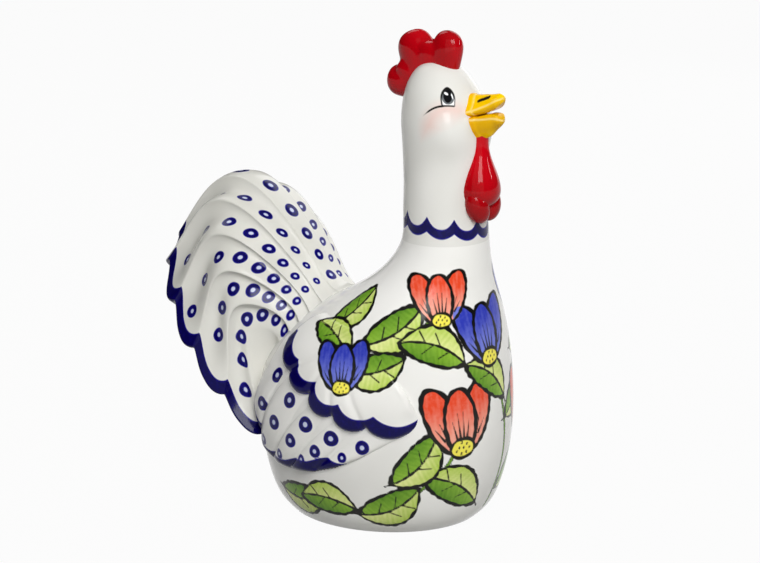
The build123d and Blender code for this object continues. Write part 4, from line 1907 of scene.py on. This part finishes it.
@dataclass
class Comb:
    """Comb of three plump lobes and the webs between them, run together under the glaze.

    Each has its seat and tip, and half its length along the bird.
    """

    face_front: float = 65.0
    crown_level: float = 272.0
    half_thickness: float = 7.6
    lobes: tuple = (
        ((-29.0, -10.0), (-20.4, 21.4), 10.0),
        ((-36.0, -12.0), (-49.0, 19.8), 12.4),
        ((-40.0, -11.0), (-64.0, -9.5), 9.6),
    )
    webs: tuple = (
        ((-34.0, -12.0), (-33.0, 15.4), 11.5),
        ((-36.0, -14.0), (-54.5, 1.5), 9.5),
    )
    shape: tuple = ((0.0, 0.9), (0.3, 1.0), (0.62, 1.0), (0.8, 0.92), (0.92, 0.7), (0.98, 0.4), (1.0, 0.02))
    web_shape: tuple = ((0.0, 0.9), (0.4, 1.0), (0.8, 1.0), (0.93, 0.86), (0.98, 0.55), (1.0, 0.02))
    grain: float = 0.7
    softening: int = 30

    def build(self) -> Object:
        """Make and dress the comb.

        Returns:
            The finished piece.
        """
        skin = Skin("comb_skin")
        for forms, shape in ((self.lobes, self.shape), (self.webs, self.web_shape)):
            for seat, tip, half_length in forms:
                start = (self.face_front + seat[0], 0.0, self.crown_level + seat[1])
                end = (self.face_front + tip[0], 0.0, self.crown_level + tip[1])
                Lobe(start, end, self.half_thickness, half_length, shape).add_to(skin)
        piece = skin.build()
        self._run_together(piece)
        return finish_piece(piece, RED_GLAZE.material(), "red_glaze", "comb")

    def _run_together(self, piece: Object) -> None:
        """Melt overlapping lobes into one soft skin, as glaze does.

        Args:
            piece: Piece of overlapping closed forms.
        """
        remesh = piece.modifiers.new("melt", "REMESH")
        remesh.mode = "VOXEL"
        remesh.voxel_size = self.grain * MM
        remesh.use_smooth_shade = True
        soften = piece.modifiers.new("soften", "SMOOTH")
        soften.factor = 0.5
        soften.iterations = self.softening
        settle(piece)


@dataclass
class Beak:
    """Slightly open beak of two soft halves, each with a crease and a rim, and painted nostrils.

    A section has its share of the way out, width, mouth edge, outer edge and crease height.
    """

    head: HeadShell
    root: float = 50.0
    span: float = 30.4
    mouth: float = 248.2
    half_width: float = 9.8
    upper: tuple = (
        (0.0, 1.30, -2.0, 9.8, 0.6),
        (0.26, 1.18, -1.6, 9.9, 0.4),
        (0.45, 0.98, -1.0, 10.4, 1.6),
        (0.61, 0.81, 0.2, 11.0, 3.6),
        (0.81, 0.62, 2.6, 11.8, 6.6),
        (0.93, 0.48, 5.2, 12.1, 8.6),
        (1.0, 0.18, 7.6, 11.2, 9.6),
    )
    lower: tuple = (
        (0.0, 1.30, -2.6, -16.8, -3.6),
        (0.26, 1.14, -2.4, -16.6, -3.6),
        (0.45, 0.95, -1.8, -16.0, -3.4),
        (0.61, 0.78, -0.6, -14.6, -3.0),
        (0.74, 0.66, 0.4, -12.6, -2.4),
        (0.86, 0.52, 0.6, -8.8, -2.0),
        (0.95, 0.40, -0.3, -6.2, -2.4),
        (1.0, 0.14, -2.2, -4.4, -3.2),
    )
    upper_fullness: float = 0.62
    lower_fullness: float = 0.86
    rim_width: float = 2.3
    rim_rise: float = 0.75
    rim_ease: tuple = (1.0, -0.4)
    rim_highlight: tuple = (0.9, 0.35)  # painted highlight beside the rim: how far off, and half its width
    # painted highlight along the crease: how far above it, and half its width
    crease_highlight: tuple = (0.3, 0.5)
    # painted shade on the upper half starts this far under the crease, mm
    upper_shade: float = 1.2
    lower_shade: tuple = (11.5, 5.0)  # painted shade on the lower half: how far under the crease it starts at the root, and how much less at the tip
    nostril: tuple = ((66.0, 4.4), (72.0, 2.4))
    nostril_half: float = 0.75
    nostril_rise: float = 6.0
    rows: int = 64
    columns: int = 96

    def build(self) -> list[Object]:
        """Make and dress both halves.

        Returns:
            The upper and the lower piece.
        """
        pieces = []
        for name, sections in (("upper_beak", self.upper), ("lower_beak", self.lower)):
            run = Spline(np.array(sections)[:, 0], np.array(sections))
            share = np.sin(np.linspace(0, math.pi / 2, self.rows))
            rows = self._rimmed(np.array([self._section(row) for row in run(share)]))
            skin = Skin(f"{name}_skin")
            numbers = skin.place(rows)
            skin.ring(numbers)
            for end in (0, -1):
                skin.fan(numbers[end], rows[end].mean(axis=0))
            piece = skin.build()
            self._paint(piece, skin.points, run, sections is self.upper)
            pieces.append(finish_piece(piece, YELLOW_GLAZE.material(), "yellow_glaze", name))
        return pieces

    def _section(self, row: Array) -> Array:
        """Soft section of a half: mouth side, crease and outer arch.

        Args:
            row: Share, width, mouth edge, outer edge and crease height of the section.

        Returns:
            Places round the section.
        """
        share, width, edge, outer, crease = row
        fullness = self.upper_fullness if outer > edge else self.lower_fullness
        # From the middle of the mouth side, over the crease, to the middle of the outer arch
        corners = np.array(
            [
                (0.0, edge),
                (0.50, edge),
                (0.80, edge + 0.12 * (crease - edge)),
                (1.0, crease),
                (fullness, crease + 0.46 * (outer - crease)),
                (fullness * 0.42, outer - 0.10 * (outer - crease)),
                (0.0, outer),
            ]
        )
        corners[:, 0] *= self.half_width * width
        loop = np.concatenate([corners, corners[-2:0:-1] * np.array([-1.0, 1.0])])
        closed = np.concatenate([loop[-3:], loop, loop[:4]])
        run = Spline(np.arange(len(closed)), closed)
        right, up = run(3 + np.linspace(0, len(loop), self.columns, endpoint=False)).T
        forward = np.full(len(right), self.root + self.span * share)
        return np.stack([forward, right, self.mouth + up], axis=-1)

    def _clear_of_face(self, points: Array) -> Array:
        """How far places stand out of the face, mm, below zero inside the head."""
        level, depth = self.head.form.reach(points, self.head.form.crown_height)
        return (level - 1) * depth - self.head.cheek_lift(mirrored(points), Side.RIGHT)

    def _rimmed(self, rows: Array) -> Array:
        """Raise a rolled rim where the beak is seated on the face.

        Args:
            rows: Places by section.

        Returns:
            The places with the rim.
        """
        ends = (self.rim_width + end for end in self.rim_ease)
        rise = self.rim_rise * smooth_step(*ends, self._clear_of_face(rows))
        return rows + unit(rows - rows.mean(axis=1, keepdims=True)) * rise[..., None]

    def _paint(self, piece: Object, points: Array, run: Spline, upper: bool) -> None:
        """Paint shade below the crease, highlights along the crease and, on the upper half, beside the rim,
        and the nostrils.

        Args:
            piece: Half of the beak.
            points: Its places.
            run: Its sections by share.
            upper: Whether it is the upper half.
        """
        share = np.clip((points[:, 0] - self.root) / self.span, 0, 1)
        over = points[:, 2] - self.mouth - run(share)[:, 4]
        clear = self._clear_of_face(points) - self.rim_width
        depth, less = self.lower_shade
        # Painted shade: darker ochre well under the crease, low on the lower half
        pooled_and_shaded = -over - depth + less * share
        # Painted highlight: pale yellow along the crease ridge
        painted_highlight = np.abs(over - self.crease_highlight[0]) - self.crease_highlight[1]
        nostril = np.full(len(points), FAR)
        if upper:
            # Painted shade on the upper half: darker ochre under the crease, on the undercut facet
            pooled_and_shaded = over + self.upper_shade
            # and a painted highlight line beside the rim
            painted_highlight = np.minimum(painted_highlight, np.abs(clear - self.rim_highlight[0]) - self.rim_highlight[1])
            slash = segment(points[:, 0], np.abs(points[:, 1]), *self.nostril) - self.nostril_half
            nostril = np.where(points[:, 2] > self.mouth + self.nostril_rise, slash, FAR)
        measures = {"rim": clear, "pooled_and_shaded": pooled_and_shaded, "painted_highlight": painted_highlight, Paint.INK.value: nostril}
        hold(piece, measures | {"wash": np.full(len(points), EVEN_WASH)})


@dataclass
class Wattles:
    """Pear lobe under the beak, and two small egg lobes behind its foot."""

    forward: float = 65.0
    top: float = 236.0
    length: float = 44.5
    half_width: float = 12.8
    half_depth: float = 11.6
    pear: tuple = (
        (0.0, 0.40), (0.17, 0.40), (0.37, 0.60), (0.56, 0.87), (0.67, 0.975), (0.74, 1.0),
        (0.80, 0.974), (0.86, 0.889), (0.92, 0.724), (0.97, 0.468), (1.0, 0.02),
    )
    pear_grid: tuple = (90, 96)
    egg: tuple = (
        (0.0, 0.02), (0.04, 0.36), (0.16, 0.70), (0.4, 0.98),
        (0.62, 1.0), (0.84, 0.76), (0.96, 0.38), (1.0, 0.02),
    )
    egg_grid: tuple = (44, 56)
    small_radius: float = 7.0
    small_half_length: float = 10.4
    small_apart: float = 12.6
    small_forward: float = 2.0
    small_up: float = 3.4
    small_lean: tuple = (2.0, 1.8)

    def build(self) -> list[Object]:
        """Make and dress the three lobes.

        Returns:
            The front, right and left pieces.
        """
        top = np.array([self.forward, 0.0, self.top])
        low = top - self.length * UP
        pear = Lobe(top, low, self.half_width, self.half_depth, self.pear, *self.pear_grid)
        lobes = {"front_wattle": pear}
        for side in Side:
            apart = side.value * self.small_apart / 2
            middle = low + np.array([self.small_forward, apart, self.small_up])
            lean = np.array([self.small_lean[0], -side.value * self.small_lean[1], -self.small_half_length])
            sizes = (self.small_radius, self.small_radius, self.egg, *self.egg_grid)
            lobes[f"{side.word}_wattle"] = Lobe(middle - lean, middle + lean, *sizes)
        pieces = []
        for name, lobe in lobes.items():
            skin = Skin(f"{name}_skin")
            lobe.add_to(skin)
            pieces.append(finish_piece(skin.build(), RED_GLAZE.material(), "red_glaze", name))
        return pieces


@dataclass(frozen=True)
class Softbox:
    """Lamp that faces the bird: where it stands in degrees and mm, its face in metres, watts."""

    name: str
    bearing: float
    rise: float
    distance: float
    width: float
    height: float
    power: float


@dataclass
class Studio:
    """Pale floor, soft studio light and the camera."""

    target: tuple = (0.0, 0.0, 132.0)
    bearing: float = 55.0
    rise: float = 14.5
    distance: float = 1400.0
    focal_pixels: float = 2333.0
    image_width: float = 760.0
    image_height: float = 563.0
    target_pixel: tuple = (388.0, 293.0)
    sensor: float = 36.0
    lamps: tuple = (
        Softbox("key_softbox", 44.0, 37.0, 1250.0, 0.56, 0.56, 10.2),
        Softbox("fill_softbox", 62.0, 14.0, 1300.0, 1.8, 1.8, 5.5),
        Softbox("strip_softbox", -28.0, 24.0, 1600.0, 0.05, 0.5, 2.6),
        Softbox("back_softbox", 205.0, 50.0, 1600.0, 0.8, 0.8, 5.0),
        Softbox("left_softbox", 266.0, 22.0, 1600.0, 1.2, 1.2, 8.5),
    )
    wall_light: float = 0.11
    ceiling_light: float = 0.28
    window_side: tuple = (0.93, 0.3, 0.2)
    window_light: tuple = (0.45, 1.35)
    window_limits: tuple = (-0.7, 0.8)
    dome_limits: tuple = (0.25, 0.95)
    paper: str = "#9c9c9a"
    paper_glow: float = 0.96
    floor_reach: float = 30000.0

    def build(self) -> None:
        """Set up the camera, the floor, the lamps and the world."""
        scene = bpy.context.scene
        scene.view_settings.view_transform = "Standard"
        self._camera(scene)
        self._floor()
        for lamp in self.lamps:
            self._lamp(lamp)
        self._world(scene)

    def _aim(self, thing: Object, bearing: float, rise: float, distance: float) -> None:
        """Stand a lamp or camera about the bird and turn it to the target.

        Args:
            thing: Lamp or camera.
            bearing: Bearing from the front towards the right, degrees.
            rise: Rise over the target, degrees.
            distance: Distance from the target, mm.
        """
        turn, lift = math.radians(bearing), math.radians(rise)
        level = math.cos(lift)
        way = np.array([math.cos(turn) * level, math.sin(turn) * level, math.sin(lift)])
        target = np.array(self.target)
        spot, aim = Vector(to_model(target + way * distance)), Vector(to_model(target))
        thing.location = spot
        thing.rotation_euler = (aim - spot).to_track_quat("-Z", "Y").to_euler()

    def _camera(self, scene: Scene) -> None:
        """Place the camera at the photograph's viewing angle.

        Args:
            scene: Scene that gets the camera.
        """
        lens = bpy.data.cameras.new("camera")
        lens.sensor_width = self.sensor
        lens.lens = self.focal_pixels / self.image_width * self.sensor
        lens.shift_x = (self.image_width / 2 - self.target_pixel[0]) / self.image_width
        lens.shift_y = (self.target_pixel[1] - self.image_height / 2) / self.image_width
        scene.camera = linked("camera", lens)
        self._aim(scene.camera, self.bearing, self.rise, self.distance)

    def _lamp(self, lamp: Softbox) -> None:
        """Add a softbox that faces the bird.

        Args:
            lamp: Where it stands, and its face and power.
        """
        light = bpy.data.lights.new(lamp.name, "AREA")
        light.shape = "RECTANGLE"
        light.size, light.size_y = lamp.width, lamp.height
        light.energy = lamp.power
        self._aim(linked(lamp.name, light), lamp.bearing, lamp.rise, lamp.distance)

    def _floor(self) -> None:
        """Lay a wide floor of pale paper, which looks evenly lit but for the bird's shadow."""
        ends = np.array([-self.floor_reach, self.floor_reach])
        forward, right = np.meshgrid(ends, ends, indexing="ij")
        skin = Skin("floor")
        skin.web(skin.place(np.stack([forward, right, np.zeros((2, 2))], axis=-1)))
        floor = skin.build(closed=False)
        if floor.data.polygons[0].normal.z < 0:
            floor.data.flip_normals()
        material = bpy.data.materials.new("pale_paper")
        tree = cleared(material)
        path = add(tree, "ShaderNodeLightPath").outputs
        seen = path["Is Camera Ray"]
        for other in ("Is Glossy Ray", "Is Transmission Ray"):
            seen = sums(tree, "MAXIMUM", seen, path[other])
        matte = add(tree, "ShaderNodeBsdfDiffuse", {"Color": linear(self.paper)}).outputs[0]
        white = add(tree, "ShaderNodeEmission", {"Color": linear("#ffffff"), "Strength": 1.0}).outputs[0]
        mixed = {0: sums(tree, "MULTIPLY", seen, self.paper_glow), 1: matte, 2: white}
        paper = add(tree, "ShaderNodeMixShader", mixed).outputs[0]
        add(tree, "ShaderNodeOutputMaterial", {"Surface": paper})
        floor.data.materials.append(material)

    def _world(self, scene: Scene) -> None:
        """Give the room a pale dome, dim along the walls and bright overhead and at the window.

        Args:
            scene: Scene that gets the world.
        """
        scene.world = bpy.data.worlds.new("studio")
        tree = cleared(scene.world)
        way = add(tree, "ShaderNodeTexCoord").outputs["Generated"]
        rise = add(tree, "ShaderNodeSeparateXYZ", {0: way}).outputs["Z"]
        lights = (self.wall_light, self.ceiling_light)
        dome = ramp(tree, rise, *self.dome_limits, *lights, ease="SMOOTHSTEP")
        forward, right, up = self.window_side
        lit = {0: way, 1: (-right, -forward, up)}
        facing = add(tree, "ShaderNodeVectorMath", lit, operation="DOT_PRODUCT").outputs["Value"]
        window = ramp(tree, facing, *self.window_limits, *self.window_light)
        strength = sums(tree, "MULTIPLY", dome, window)
        sky = add(tree, "ShaderNodeBackground", {"Color": linear("#ffffff"), "Strength": strength})
        add(tree, "ShaderNodeOutputWorld", {"Surface": sky.outputs[0]})


def dress_base(frame: dict) -> None:
    """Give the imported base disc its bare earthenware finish.

    Args:
        frame: The loaded frame.
    """
    disc = frame["nodes"]["base_disc"]
    disc.data.materials.clear()
    disc.data.materials.append(BISCUIT.material())
    LOG.info("base_disc: dressed")


def main() -> None:
    """Build the rooster and its studio."""
    logging.basicConfig(level=logging.INFO, format="%(message)s")
    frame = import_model()
    form = CastForm()
    head = HeadShell(form)
    dress_base(frame)
    BodyShell(form).build()
    head.build()
    TailPlume(form).build()
    for side in Side:
        Wing(form, side).build()
    Comb().build()
    Beak(head).build()
    Wattles().build()
    Studio().build()


if __name__ == "__main__":
    main()
